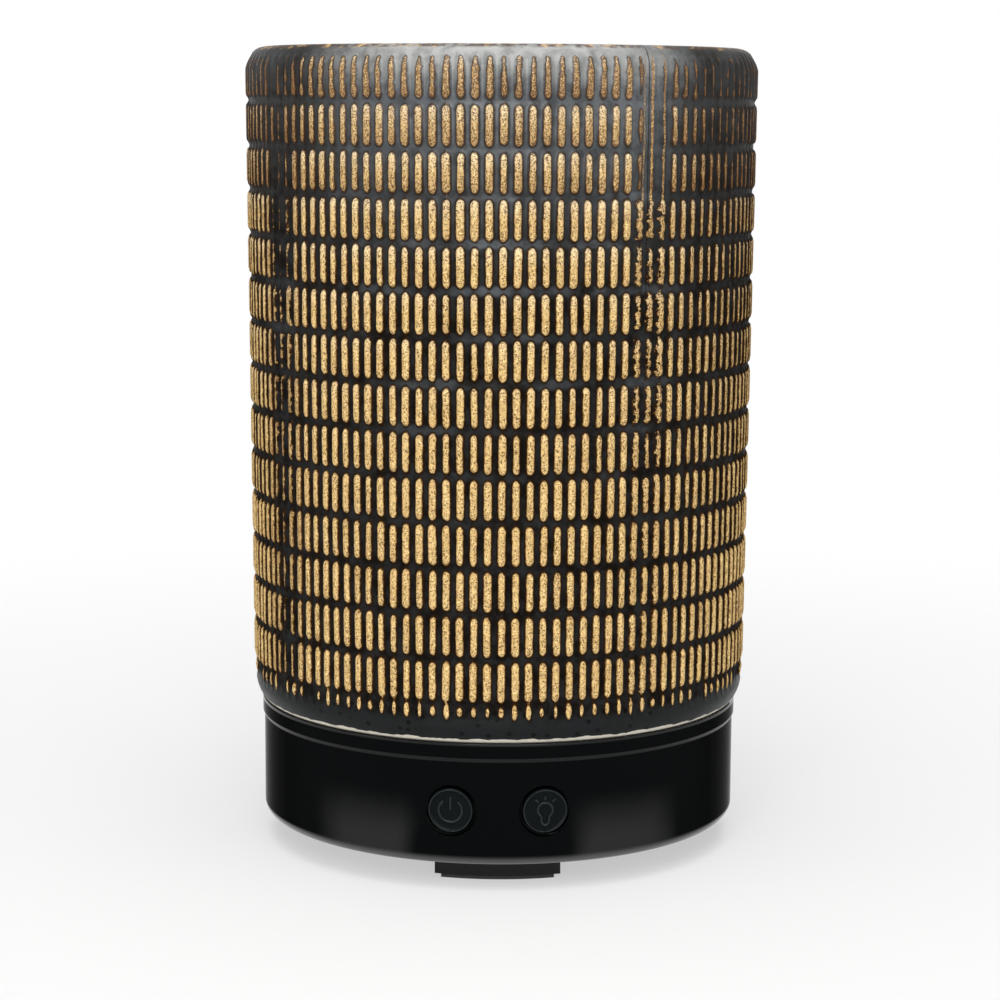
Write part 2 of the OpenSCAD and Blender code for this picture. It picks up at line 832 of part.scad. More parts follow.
module power_switch_stem() { switch_stem(-1); }
module light_switch_stem() { switch_stem(1); }
module power_button() { button(-1); }
module light_button() { button(1); }

/* ---- Power inlet ---- */

module dc_jack() {
  color([0.08, 0.08, 0.08])
    translate([0, 0, jack_z])
      difference() {
        union() {
          translate([-jack_w / 2, jack_back_y, -jack_h / 2])
            cube([jack_w, jack_front_y - jack_back_y, jack_h]);
          y_rod(jack_nose_r, jack_front_y - eps, jack_nose_y);
        }
        y_rod(jack_bore_r, jack_bore_end_y, jack_nose_y + over);
        y_rod(jack_root_r + hold_gap, jack_back_y + jack_root_end, jack_nose_y + over);
      }
}

module dc_jack_pin() {
  color([0.75, 0.76, 0.78])
    translate([0, 0, jack_z]) {
      y_rod(jack_pin_r, jack_bore_end_y, jack_pin_end_y);
      y_rod(jack_root_r, jack_back_y + jack_root_end + 0.1, jack_bore_end_y + eps);
    }
}

module jack_terminals() {
  color([0.8, 0.78, 0.7])
    for (dx = terminal_x)
      translate([dx, jack_back_y - terminal_size[1], jack_z - 1]) cube(terminal_size);
}

/* ---- Internal wires ---- */

wire_r = 0.55;
wire_sides = 8;

function unit(v) = v / norm(v);
// point on a smooth curve through the route, for segment i and fraction t
function curve_at(route, i, t) =
  let (last = len(route) - 1,
       a = route[max(i - 1, 0)], b = route[i], c = route[i + 1], d = route[min(i + 2, last)])
  0.5 * (2 * b + (c - a) * t + (2 * a - 5 * b + 4 * c - d) * t * t + (3 * b - a - 3 * c + d) * t * t * t);
function smooth_route(route, steps) =
  concat([for (i = [0 : len(route) - 2]) for (k = [0 : steps - 1]) curve_at(route, i, k / steps)],
         [route[len(route) - 1]]);
function route_direction(path, i) = unit(path[min(i + 1, len(path) - 1)] - path[max(i - 1, 0)]);
// a sideways direction for the rings, which never lines up with the routes
ring_hint = [0.31, 0.17, 0.94];

// One round wire swept along a route
module wire(route, shift) {
  path = smooth_route([for (p = route) p + shift], 3);
  n = len(path);
  rings = [for (i = [0 : n - 1])
    let (d = route_direction(path, i), u = unit(cross(d, ring_hint)), v = cross(d, u))
    [for (k = [0 : wire_sides - 1])
      path[i] + wire_r * (cos(k * 360 / wire_sides) * u + sin(k * 360 / wire_sides) * v)]];
  points = concat([for (r = rings) each r], [path[0], path[n - 1]]);
  start = n * wire_sides;
  faces = concat(
    [for (i = [0 : n - 2]) for (k = [0 : wire_sides - 1])
      let (j = (k + 1) % wire_sides)
      [i * wire_sides + k, (i + 1) * wire_sides + k, (i + 1) * wire_sides + j]],
    [for (i = [0 : n - 2]) for (k = [0 : wire_sides - 1])
      let (j = (k + 1) % wire_sides) [i * wire_sides + k, (i + 1) * wire_sides + j, i * wire_sides + j]],
    [for (k = [0 : wire_sides - 1]) [start, k, (k + 1) % wire_sides]],
    [for (k = [0 : wire_sides - 1])
      [start + 1, (n - 1) * wire_sides + (k + 1) % wire_sides, (n - 1) * wire_sides + k]]);
  polyhedron(points = points, faces = faces);
}

module wire_pair(route, gap) {
  wire(route, -gap / 2);
  wire(route, gap / 2);
}

fan_route = [[9, -9.2, 13.4], [9.6, -8, 13.6], [13.5, -7.2, 13.2], [17, -5.2, 12.6], [17.4, 1, 12.4],
             [15.7, 6, 12.4]];
piezo_route = [[-9, -8.7, 13.4], [-9, -7.8, 14], [-8, -5.5, 16.4], [-6, -3, 17.6], [-4.2, -1.5, 18.9],
               [-3.6, -1.2, 20.6]];
led_route = [[9, -30.4, 13.4], [10, -31.2, 13.6], [14, -31.6, 14.4], [18.8, -29.5, 15.4], [20.6, -25, 16.4],
             [20, -20, 17.3], [19, -17, 17.7]];
jack_route = [[2, 26.8, 15.2], [6, 27, 15], [14, 27.4, 14.4], [19, 24.5, 13.8], [23, 16, 13],
              [24.5, 4, 12.6], [24, -6, 12.6], [22.4, -12, 13], [19.4, -15, 12.8]];
switch_route = [[-9, -29.7, 13.4], [-9, -30.6, 13.4], [-8.6, -31.7, 13], [-8, -33.4, 12.6]];

module fan_wires() { color([0.7, 0.1, 0.1]) wire_pair(fan_route, [0, 0, 1.4]); }
module piezo_wires() { color([0.85, 0.8, 0.3]) wire_pair(piezo_route, [1.3, -0.9, 0]); }
module led_wires() { color([0.9, 0.9, 0.9]) wire_pair(led_route, [0.3, -0.2, 1.25]); }
module jack_wires() { color([0.6, 0.08, 0.08]) wire_pair(jack_route, [0, 0, 1.4]); }
module switch_wires() { color([0.2, 0.3, 0.7]) wire_pair(switch_route, [1.4, 0, 0]); }

ceramic_shade();
inner_lid();
water_tank();
tank_seal();
tank_screws();
top_deck();
lower_housing();
foot_pads();
housing_screws();
piezo_disc();
piezo_seal();
piezo_clamp();
piezo_screws();
led_board();
leds();
led_screws();
fan_frame();
fan_stator();
fan_bearing();
fan_screws();
fan_shaft();
fan_rotor();
main_pcb();
pcb_screws();
capacitors();
inductor();
mosfet();
ic_chips();
connectors();
switch_board();
tact_switches();
power_switch_stem();
light_switch_stem();
power_button();
light_button();
dc_jack();
dc_jack_pin();
jack_terminals();
fan_wires();
piezo_wires();
led_wires();
jack_wires();
switch_wires();
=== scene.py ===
"""Looks of the essential oil diffuser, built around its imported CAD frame. Lengths are in metres."""
import json
import math

import bmesh
import bpy
import numpy as np
from mathutils import Matrix, Vector


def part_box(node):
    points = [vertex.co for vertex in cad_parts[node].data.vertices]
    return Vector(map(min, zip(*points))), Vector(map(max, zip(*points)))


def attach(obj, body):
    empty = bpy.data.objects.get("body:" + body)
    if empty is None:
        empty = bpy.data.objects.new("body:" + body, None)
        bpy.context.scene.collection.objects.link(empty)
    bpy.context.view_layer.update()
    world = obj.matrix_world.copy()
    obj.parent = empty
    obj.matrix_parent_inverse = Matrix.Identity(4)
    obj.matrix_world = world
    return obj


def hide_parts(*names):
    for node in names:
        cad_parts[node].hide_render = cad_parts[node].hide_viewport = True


MM = 0.001
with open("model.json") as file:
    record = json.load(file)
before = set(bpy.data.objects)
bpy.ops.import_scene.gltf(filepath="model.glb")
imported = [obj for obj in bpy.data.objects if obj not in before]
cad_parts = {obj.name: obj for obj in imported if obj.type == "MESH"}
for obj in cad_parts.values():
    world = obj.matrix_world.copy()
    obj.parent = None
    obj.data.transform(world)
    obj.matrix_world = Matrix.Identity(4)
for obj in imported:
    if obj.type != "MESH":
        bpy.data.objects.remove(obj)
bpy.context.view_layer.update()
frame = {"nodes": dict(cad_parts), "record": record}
rng = np.random.default_rng(14)

# ---------------------------------------------------------------- sizes, from the frame
shade_low, shade_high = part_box("ceramic_shade")
_, deck_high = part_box("top_deck")
_, housing_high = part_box("lower_housing")
TOP_Z = shade_high.z                      # rim of the shade
SEAT_Z = shade_low.z                      # foot of the shade, on the deck
SHADE_R = 0.047                           # widest radius, near the top
SHADE_TAPER = 0.0009                      # how much narrower the side is at its bottom
SHADE_WALL = 0.004
MOUTH_R = 0.017
SHOULDER_R = 0.0038
FOOT_CURVE_R = 0.0065
FOOT_CURVE_H = 0.0047
DECK_R = deck_high.x
BASE_R = housing_high.x
ROLL_R = 2.0 * MM                         # rounded bottom edge of the housing
PARTING_Z = housing_high.z                # line between the housing and the deck
BOTTOM_Z = 0.0046                         # underside of the housing
BUTTON_X = 0.0083
BUTTON_Z = BOTTOM_Z + 0.0099
BUTTON_R = 0.00402


# ---------------------------------------------------------------- material helpers
class Nodes:
    """Short ways to add and link shader nodes in one material."""

    def __init__(self, name):
        self.mat = bpy.data.materials.new(name)
        self.mat.use_nodes = True
        self.tree = self.mat.node_tree
        self.bsdf = self.tree.nodes["Principled BSDF"]

    def add(self, kind, **props):
        node = self.tree.nodes.new("ShaderNode" + kind)
        for key, value in props.items():
            setattr(node, key, value)
        return node

    def put(self, socket, value):
        if isinstance(value, bpy.types.NodeSocket):
            self.tree.links.new(value, socket)
        else:
            socket.default_value = value

    def set(self, **values):
        for key, value in values.items():
            self.put(self.bsdf.inputs[key.replace("_", " ")], value)

    def math(self, operation, a, b=0.0, c=0.0, clamp=False):
        node = self.add("Math", operation=operation, use_clamp=clamp)
        for socket, value in zip(node.inputs, (a, b, c)):
            self.put(socket, value)
        return node.outputs[0]

    def mul(self, a, b, **options):
        return self.math("MULTIPLY", a, b, **options)

    def plus(self, a, b):
        return self.math("ADD", a, b)

    def minus(self, a, b):
        return self.math("SUBTRACT", a, b)

    def one_minus(self, a):
        return self.math("SUBTRACT", 1.0, a)

    def most(self, a, b):
        return self.math("MAXIMUM", a, b)

    def size(self, a):
        return self.math("ABSOLUTE", a)

    def where(self):
        """Object coordinates, split into X, Y and Z."""
        split = self.add("SeparateXYZ")
        self.tree.links.new(self.add("TexCoord").outputs["Object"], split.inputs[0])
        return split.outputs

    def mix(self, fac, a, b):
        node = self.add("Mix", data_type="RGBA")
        self.put(node.inputs[0], fac)
        self.put(node.inputs[6], a)
        self.put(node.inputs[7], b)
        return node.outputs[2]

    def mix_value(self, fac, a, b):
        node = self.add("Mix", data_type="FLOAT")
        self.put(node.inputs[0], fac)
        self.put(node.inputs[2], a)
        self.put(node.inputs[3], b)
        return node.outputs[0]

    def step(self, value, low, high):
        node = self.add("MapRange", interpolation_type="SMOOTHSTEP")
        self.put(node.inputs[0], value)
        self.put(node.inputs[1], low)
        self.put(node.inputs[2], high)
        return node.outputs[0]

    def place(self, stretch=(1, 1, 1)):
        coords = self.add("TexCoord")
        mapping = self.add("Mapping")
        self.tree.links.new(coords.outputs["Object"], mapping.inputs[0])
        mapping.inputs["Scale"].default_value = stretch
        return mapping.outputs[0]

    def noise(self, scale, detail=2.0, rough=0.5, where=None):
        node = self.add("TexNoise")
        self.put(node.inputs["Vector"], where or self.place())
        node.inputs["Scale"].default_value = scale
        node.inputs["Detail"].default_value = detail
        node.inputs["Roughness"].default_value = rough
        return node.outputs["Fac"]

    def spots(self, scale, where=None):
        node = self.add("TexVoronoi")
        self.put(node.inputs["Vector"], where or self.place())
        node.inputs["Scale"].default_value = scale
        return node.outputs["Distance"]

    def attribute(self, name):
        return self.add("Attribute", attribute_name=name).outputs["Fac"]

    def bump(self, height, distance, strength=1.0):
        node = self.add("Bump")
        node.inputs["Strength"].default_value = strength
        node.inputs["Distance"].default_value = distance
        self.put(node.inputs["Height"], height)
        self.put(self.bsdf.inputs["Normal"], node.outputs[0])


def grey(v):
    return (v, v, v, 1)


# ---------------------------------------------------------------- ceramic shade, as a relief
RIDGES = 120
ROWS = 14
ROW_PITCH = 0.007955
FIRST_GROOVE = TOP_Z - 0.0097
PITCH_DEG = 360 / RIDGES
RIDGE_TURN = 0.55                         # degrees from the front to the first ridge
RELIEF = 0.0005                           # height of a ridge over the valley beside it
GROOVE = 0.00003                          # how far the groove between rows lies below the valleys
FOOT_SHARE = 0.36                         # half width of a ridge, as a share of the pitch
COLUMNS = (-0.5, -0.36, -0.2, 0.0, 0.2, 0.36)
VALLEY_SHARE = 0.45                       # columns beyond this share of the pitch stay in the valley
VALLEY_U = 1.39                           # distance across that the glaze reads where no ridge is
VALLEY_V = 2.0                            # and the distance along
FAULT_REACH = 0.01                        # distance to a joint is kept within this
DOT_HALF = 1.35 * MM                      # half length of a dot under the rows
TOP_ROWS = 3                              # rows that took the most glaze
CAP = 0.95 * MM                           # length of a ridge's rounded end
TIP = 0.5 * MM                            # from the groove's middle to a ridge's tip
ROW_STEPS = (0.0, 0.5, 0.8, 1.45, 3.98, 6.5, 7.15, 7.45)
SEAMS = (11, 41, 71, 101)                 # ridges that lie on the mould's four seams
CURVE_Z = SEAT_Z + FOOT_CURVE_H
SHOULDER_Z = TOP_Z - SHOULDER_R


def side_radius(z):
    """Radius of the shade's slightly tapered side."""
    low = SHADE_R - SHADE_TAPER
    return low + SHADE_TAPER * (z - CURVE_Z) / (SHOULDER_Z - CURVE_Z)


def outer_profile():
    """Rings from the rim down: (z, radius, kind, row, distance down the row)."""
    rings = []
    centre_r = SHADE_R - SHOULDER_R
    for angle in (90, 84, 72, 60, 48):
        a = math.radians(angle)
        rings.append((SHOULDER_Z + SHOULDER_R * math.sin(a), centre_r + SHOULDER_R * math.cos(a),
                      "rim", -1, 0.0))
    # the top row runs up over the shoulder
    for drop in (0.55, 1.3, 2.2, 3.4, 4.8, 6.6, 7.15, 7.45):
        z = FIRST_GROOVE + ROW_PITCH - drop * MM
        if z > SHOULDER_Z:
            radius = centre_r + math.sqrt(max(SHOULDER_R ** 2 - (z - SHOULDER_Z) ** 2, 0))
        else:
            radius = side_radius(z)
        rings.append((z, radius, "row", 0, drop * MM))
    for row in range(1, ROWS):
        top = FIRST_GROOVE - (row - 1) * ROW_PITCH
        for drop in ROW_STEPS:
            rings.append((top - drop * MM, side_radius(top - drop * MM), "row", row, drop * MM))
    top = FIRST_GROOVE - (ROWS - 1) * ROW_PITCH
    for drop in (0.0, 0.45, 0.8, 1.2, 1.7, 2.3, 2.9):
        z = top - drop * MM
        rings.append((z, foot_radius(z), "dots", ROWS, drop * MM))
    for rise in (3.4, 2.5, 1.7, 1.0, 0.45):
        z = SEAT_Z + rise * MM
        rings.append((z, foot_radius(z), "band", -1, 0.0))
    rings.append((SEAT_Z, foot_radius(SEAT_Z) - 0.25 * MM, "band", -1, 0.0))
    return rings


def foot_radius(z):
    """The same, with the curve that draws in towards the foot."""
    if z >= CURVE_Z:
        return side_radius(z)
    return SHADE_R - SHADE_TAPER - FOOT_CURVE_R + math.sqrt(FOOT_CURVE_R ** 2 - (CURVE_Z - z) ** 2)


def smooth(x, low, high):
    t = np.clip((x - low) / (high - low), 0, 1)
    return t * t * (3 - 2 * t)


def ridge_table():
    """Random variation and seam faults of every ridge: arrays of rows by ridges."""
    shape = (ROWS + 1, RIDGES)
    t = {
        "width": 1 + 0.05 * rng.standard_normal(shape),
        "height": 1 + 0.06 * rng.standard_normal(shape),
        "shift": 0.035 * MM * rng.standard_normal(shape),
        "lean": 0.03 * MM * rng.standard_normal(shape),
        "tip_top": 0.07 * MM * rng.standard_normal(shape),
        "tip_bottom": 0.07 * MM * rng.standard_normal(shape),
        "cover": np.clip(0.05 + 0.07 * rng.standard_normal(shape), 0, 1),
        "groove": np.ones(shape),
        "burn": np.clip(0.05 + 0.05 * rng.standard_normal(shape), 0, 1),
    }
    t["burn"][:4] += np.array([0.62, 0.34, 0.2, 0.1])[:, None]
    angle = (np.arange(RIDGES) * PITCH_DEG + RIDGE_TURN + 180) % 360 - 180
    # the upper rows took more glaze, most of all away from the front
    away = smooth(np.abs(angle + 4), 34, 62)
    t["cover"][0] += 0.05 + 0.3 * away
    t["cover"][1] += 0.04 + 0.34 * away
    t["cover"][2] += 0.02 + 0.2 * away
    t["cover"][3:6] += 0.12 * away
    t["cover"][6:10] += 0.06 * away
    # the right side's upper rows get more glaze cover, and their clay is darkened there as painted shade
    right = smooth(angle, 30, 56) * (1 - smooth(angle, 95, 130))
    for row in range(11):
        depth = 1 - row / 11
        t["cover"][row] += (0.24 * depth + 0.02) * right * rng.uniform(0.6, 1.3, RIDGES)
        t["burn"][row] += 0.5 * depth * right
    t["burn"][:TOP_ROWS] += 0.3 * away
    for seam in SEAMS[:3]:
        for row in range(ROWS):
            fade = 1.0 if row < TOP_ROWS else max(0.0, 0.72 - 0.05 * (row - TOP_ROWS))
            worn = rng.uniform(0.55, 1.0, 3)
            for side, k in zip((-1, 0, 1), (seam - 1, seam, seam + 1)):
                k %= RIDGES
                part = fade * (worn[side + 1] if row >= TOP_ROWS else 1)
                centre = side == 0
                if row < TOP_ROWS:
                    t["height"][row, k] *= 0.3 if centre else 0.4
                    t["groove"][row, k] = 0.12
                    t["cover"][row, k] = 1.0 if centre else (0.62 if side < 0 else 0.95)
                    t["burn"][row, k] += 0.5
                else:
                    heavy = (0.34, 0.4, 0.12) if row < 8 else (0.2, 0.5, 0.1)
                    t["width"][row, k] *= 1 + 0.2 * part
                    t["height"][row, k] *= 1 - 0.45 * part * (1 if centre else 0.5)
                    t["cover"][row, k] += part * heavy[side + 1]
                    t["burn"][row, k] += 0.4 * part
                    t["groove"][row, k] = 1 - 0.4 * fade
    # the seam at the left is covered all the way down
    left = SEAMS[3]
    t["cover"][:ROWS, left] = np.clip(t["cover"][:ROWS, left] + 0.5, 0.6, 1.0)
    t["cover"][:ROWS, left + 1] += 0.4 * rng.random(ROWS)
    t["cover"][:ROWS, left - 1] += 0.5 * rng.random(ROWS)
    t["cover"][2:5, left - 1:left + 2] += 0.35
    t["burn"][:ROWS, left - 2:left + 3] += 0.35
    t["width"][ROWS] *= rng.uniform(0.5, 0.8, RIDGES)
    t["height"][ROWS] *= np.where(rng.random(RIDGES) < 0.12, 0.1, rng.uniform(0.6, 1.0, RIDGES))
    t["cover"][ROWS] += np.where(t["height"][ROWS] < 0.3, 0.9, 0.0)
    t["dot"] = rng.uniform(0.6, 1.15, RIDGES)
    return t


def inner_profile():
    """The plain side of the shade as (z, radius): top face, mouth, inside and foot."""
    in_low = SHADE_R - SHADE_TAPER - SHADE_WALL
    in_high = SHADE_R - SHADE_WALL
    foot_in = DECK_R - 0.0036
    under = TOP_Z - SHADE_WALL
    lip = 1.4 * MM
    rings = [(TOP_Z, 0.0400), (TOP_Z, MOUTH_R + lip)]
    rings += [(TOP_Z - lip + lip * math.cos(a), MOUTH_R + lip - lip * math.sin(a))
              for a in (0.5, 1.05, math.pi / 2)]
    rings += [(under + 1.2 * MM, MOUTH_R), (under + 0.3 * MM, MOUTH_R + 0.3 * MM),
              (under, MOUTH_R + 1.2 * MM), (under, in_high - 3 * MM),
              (under - 0.9 * MM, in_high - 0.9 * MM), (under - 3 * MM, in_high),
              (SHOULDER_Z - 0.03, in_high - 0.3 * MM), (CURVE_Z + 1 * MM, in_low),
              (CURVE_Z - 1 * MM, foot_in + 0.3 * MM), (SEAT_Z + 0.5 * MM, foot_in),
              (SEAT_Z, foot_in + 0.5 * MM)]
    return rings


def build_shade():
    """The shade as one closed relief mesh, with the attributes its glaze reads."""
    rings = outer_profile()
    t = ridge_table()
    per = len(COLUMNS)
    count = RIDGES * per
    share = np.tile(np.array(COLUMNS), RIDGES)
    ridge = np.repeat(np.arange(RIDGES), per)
    pitch_here = math.radians(PITCH_DEG)
    co, au, av, cover, burn, fault, painted_highlight = [], [], [], [], [], [], []
    seam_at = math.radians(RIDGE_TURN) + np.array(SEAMS) * pitch_here
    for z, radius, kind, row, drop in rings:
        angle = math.radians(RIDGE_TURN) + (ridge + share) * pitch_here
        r = np.full(count, radius - RELIEF)
        u = np.full(count, VALLEY_U)
        v = np.full(count, VALLEY_V)
        c = np.zeros(count)
        dark = np.zeros(count)
        zz = np.full(count, z)
        if kind == "rim":
            blend_in = smooth(np.array([z]), SHOULDER_Z + 1.2 * MM, TOP_Z)[0]
            r = np.full(count, radius - RELIEF * (1 - blend_in))
            c[:] = 1.0
        elif kind == "band":
            r = np.full(count, radius - RELIEF * 0.5 * smooth(np.array([z]), SEAT_Z, CURVE_Z)[0])
            c[:] = 1.0
        else:
            width = t["width"][row][ridge]
            tall = t["height"][row][ridge]
            c = t["cover"][row][ridge].copy()
            dark = t["burn"][row][ridge].copy()
            if row < TOP_ROWS:
                dark = dark + 0.3 * smooth(np.array([drop]), 5.2 * MM, 6.4 * MM)[0]
            if kind == "row":
                middle = ROW_PITCH / 2
                half = middle - TIP
                tip = np.where(drop < middle, t["tip_top"][row][ridge], t["tip_bottom"][row][ridge])
                along = (abs(drop - middle) - (half - CAP)) / CAP + tip / CAP
                cap_cut = np.sqrt(np.clip(1 - np.clip(along, 0, 1) ** 2, 0.09, 1))
                if row == 0:
                    # ridges of the top row fade into the shoulder
                    fade = smooth(np.array([drop]), 0.4 * MM, 2.6 * MM)[0]
                    bulb = smooth(np.array([drop]), 4.9 * MM, 6.2 * MM)[0]
                    tall = tall * (0.3 + 0.7 * fade)
                    c = np.clip(c + 0.22 * (1 - bulb) + 0.3 * (1 - fade), 0, 1)
                    along = np.where(drop < middle, -1.0, along)
                    cap_cut = np.where(drop < middle, 1.0, cap_cut)
                sunk = smooth(np.array([abs(drop - middle)]), half - 0.3 * MM, middle)[0]
                groove = GROOVE * t["groove"][row][ridge] * sunk
                if row == 0 and drop < middle:
                    groove = 0
            else:
                along = np.abs(drop - DOT_HALF) / (DOT_HALF * t["dot"][ridge])
                cap_cut = np.sqrt(np.clip(1 - np.clip(along, 0, 1) ** 2, 0.12, 1))
                tall = tall * 0.75
                groove = 0
            # columns follow the outline of the ridge's rounded ends
            on_ridge = np.abs(share) < VALLEY_SHARE
            squeeze = np.where(on_ridge, cap_cut * width, 1.0)
            local = share * squeeze
            angle = math.radians(RIDGE_TURN) + (ridge + local) * pitch_here
            lean = t["lean"][row][ridge] * (drop / ROW_PITCH - 0.5) * 2
            angle = angle + on_ridge * (t["shift"][row][ridge] + lean) / radius
            u = np.where(on_ridge, np.abs(local) / (FOOT_SHARE * width), 0.5 / FOOT_SHARE / width)
            v = np.maximum(along, 0)
            dist = np.sqrt(u ** 2 + v ** 2)
            h = np.clip(1 - np.clip(dist, 0, 1) ** 2.2, 0, 1) ** 0.62
            r = r + RELIEF * h * tall - groove * (1 - h)
            r = np.minimum(r, radius)
            v = np.broadcast_to(v, (count,)).copy()
        gap = (angle[:, None] - seam_at[None, :] + math.pi) % (2 * math.pi) - math.pi
        gap = gap[np.arange(count), np.abs(gap).argmin(axis=1)]
        fault.append(np.clip(gap * SHADE_R, -FAULT_REACH, FAULT_REACH))
        # share of a painted highlight at the top end of each ridge
        on_top = 1 - smooth(np.array([drop]), 0.9 * MM, 2.3 * MM)[0] if kind == "row" else 0.0
        painted_highlight.append(np.full(count, on_top))
        co.append(np.stack([r * np.sin(angle), -r * np.cos(angle), zz], 1))
        au.append(u)
        av.append(v)
        cover.append(c)
        burn.append(dark)
    verts = np.concatenate(co)
    attributes = {"ridge_u": np.concatenate(au), "ridge_v": np.concatenate(av),
                  "cover": np.concatenate(cover), "burn": np.concatenate(burn),
                  "fault": np.concatenate(fault), "painted_highlight": np.concatenate(painted_highlight)}
    n = len(rings)
    index = np.arange(n * count).reshape(n, count)
    faces = []
    nxt = np.roll(np.arange(count), -1)
    for i in range(n - 1):
        a, b = index[i], index[i + 1]
        faces += [tuple(q) for q in np.stack([a, b, b[nxt], a[nxt]], 1).tolist()]

    # the plain parts, on fewer columns
    few = 240
    angle = math.radians(RIDGE_TURN) - pitch_here / 2 + np.arange(few) * 2 * math.pi / few
    inside = inner_profile()
    start = len(verts)
    extra = []
    for z, radius in inside:
        extra.append(np.stack([radius * np.sin(angle), -radius * np.cos(angle), np.full(few, z)], 1))
    verts = np.concatenate([verts] + extra)
    plain = {"ridge_u": VALLEY_U, "ridge_v": VALLEY_V, "cover": 1.0, "burn": 0.0, "fault": FAULT_REACH,
             "painted_highlight": 0.0}
    for key, fill in plain.items():
        attributes[key] = np.concatenate([attributes[key], np.full(len(verts) - start, fill)])
    ring_in = start + np.arange(len(inside) * few).reshape(len(inside), few)
    nxt_few = np.roll(np.arange(few), -1)
    for i in range(len(inside) - 1):
        a, b = ring_in[i], ring_in[i + 1]
        faces += [tuple(q) for q in np.stack([a, a[nxt_few], b[nxt_few], b], 1).tolist()]
    ratio = count // few
    for outer, inner, flip in ((index[0], ring_in[0], True), (index[-1], ring_in[-1], False)):
        for k in range(few):
            k1 = (k + 1) % few
            row_ids = [outer[(k * ratio + j) % count] for j in range(ratio + 1)]
            poly = [inner[k]] + row_ids + [inner[k1]]
            faces.append(tuple(int(x) for x in (poly if flip else poly[::-1])))
    mesh = bpy.data.meshes.new("ceramic_shade_relief")
    mesh.from_pydata(verts.tolist(), [], faces)
    mesh.validate()
    for key, values in attributes.items():
        layer = mesh.attributes.new(key, "FLOAT", "POINT")
        layer.data.foreach_set("value", values.astype(np.float32))
    mesh.polygons.foreach_set("use_smooth", [True] * len(mesh.polygons))
    fix_normals(mesh)
    obj = bpy.data.objects.new("ceramic_shade_relief", mesh)
    bpy.context.scene.collection.objects.link(obj)
    return obj


def fix_normals(mesh):
    bm = bmesh.new()
    bm.from_mesh(mesh)
    bmesh.ops.recalc_face_normals(bm, faces=bm.faces)
    bm.to_mesh(mesh)
    bm.free()
    mesh.update()


# colours of the bare clay (straw and ochre), of the glaze, and of the rim and foot, with painted glints,
# highlights, sheen and shade among them
STRAW_PALE = (0.90, 0.655, 0.29, 1)
STRAW_DEEP = (0.77, 0.53, 0.21, 1)
STRAW_SPOT = (0.62, 0.40, 0.17, 1)
OCHRE_PAINTED_SHADE = (0.40, 0.225, 0.075, 1)
OCHRE_BURNT = (0.36, 0.19, 0.075, 1)
STRAW_PAINTED_GLINT = (0.99, 0.78, 0.39, 1)
STRAW_PAINTED_HIGHLIGHT = (0.94, 0.81, 0.56, 1)
IRON_SPECK = (0.11, 0.05, 0.014, 1)
CLAY_EDGE = (0.17, 0.075, 0.02, 1)
GLAZE_DARK = (0.0048, 0.0036, 0.0024, 1)
GLAZE_GREY = (0.0168, 0.0172, 0.0177, 1)
GLAZE_PAINTED_SHEEN = (0.110, 0.121, 0.130, 1)
GLAZE_PAINTED_HIGHLIGHT = (0.302, 0.307, 0.293, 1)
GLAZE_HALO = (0.0225, 0.0085, 0.0006, 1)
GLAZE_PAINTED_BAND_SHEEN = (0.0115, 0.0135, 0.014, 1)
GLAZE_WET = (0.002, 0.002, 0.002, 1)
GLAZE_CREASE = (0.003, 0.002, 0.001, 1)
LINE_CLAY = (0.80, 0.55, 0.22, 1)
LINE_SPECK = (0.22, 0.10, 0.03, 1)
RIM_BROWN = (0.045, 0.02, 0.009, 1)
RIM_OCHRE = (0.55, 0.33, 0.12, 1)
FOOT_CREAM = (0.72, 0.69, 0.60, 1)
FOOT_SHADE = (0.55, 0.51, 0.42, 1)


def joint_lines(n, fault, fine, place):
    """Two thin lines of bare clay, and a faint one, down a joint through the top three rows."""
    height = place["Z"]
    top_joint = n.step(height, FIRST_GROOVE - 2.3 * ROW_PITCH, FIRST_GROOVE - 2.1 * ROW_PITCH)
    top_joint = n.mul(top_joint, n.one_minus(n.step(height, TOP_Z - 0.004, TOP_Z - 0.001)))
    drift = n.mul(n.minus(n.noise(150, 3, 0.6, n.place((0.2, 0.2, 1))), 0.5), 0.0016)
    straight = n.plus(fault, n.mul(drift, 0.12))
    wavy = n.plus(n.minus(fault, 0.0026), drift)
    faint = n.plus(n.plus(fault, 0.0017), n.mul(drift, 0.7))
    rough_edge = n.mul(n.minus(fine, 0.5), 0.00035)
    lines = 0.0
    for where, half, weight in ((straight, 0.00017, 1.0), (wavy, 0.00013, 0.8), (faint, 0.0001, 0.55)):
        off = n.plus(n.size(where), rough_edge)
        one = n.mul(n.one_minus(n.step(off, half, half + 0.00012)), weight)
        lines = n.most(lines, one)
    lines = n.mul(lines, n.mul(top_joint, n.step(place["X"], -0.03, -0.02)))
    return straight, lines


def top_rim(n, place, glaze):
    """Thin brown rim where the glaze ran off the top edge: share, glaze and clay to mix."""
    height = place["Z"]
    rim = n.mul(n.step(height, TOP_Z - 0.0009, TOP_Z - 0.0003), n.step(n.noise(300, 3, 0.7), 0.38, 0.55))
    across = n.mul(place["X"], place["X"])
    depth = n.mul(place["Y"], place["Y"])
    reach = n.math("SQRT", n.plus(across, depth))
    edge_band = n.most(n.step(reach, 0.0385, 0.0415),
                       n.one_minus(n.step(reach, MOUTH_R + 0.001, MOUTH_R + 0.003)))
    rim = n.mul(rim, n.plus(0.12, n.mul(edge_band, 0.88)))
    rim_clay = n.mix(n.step(n.noise(520, 3, 0.6), 0.5, 0.66), RIM_BROWN, RIM_OCHRE)
    return rim, glaze, rim_clay


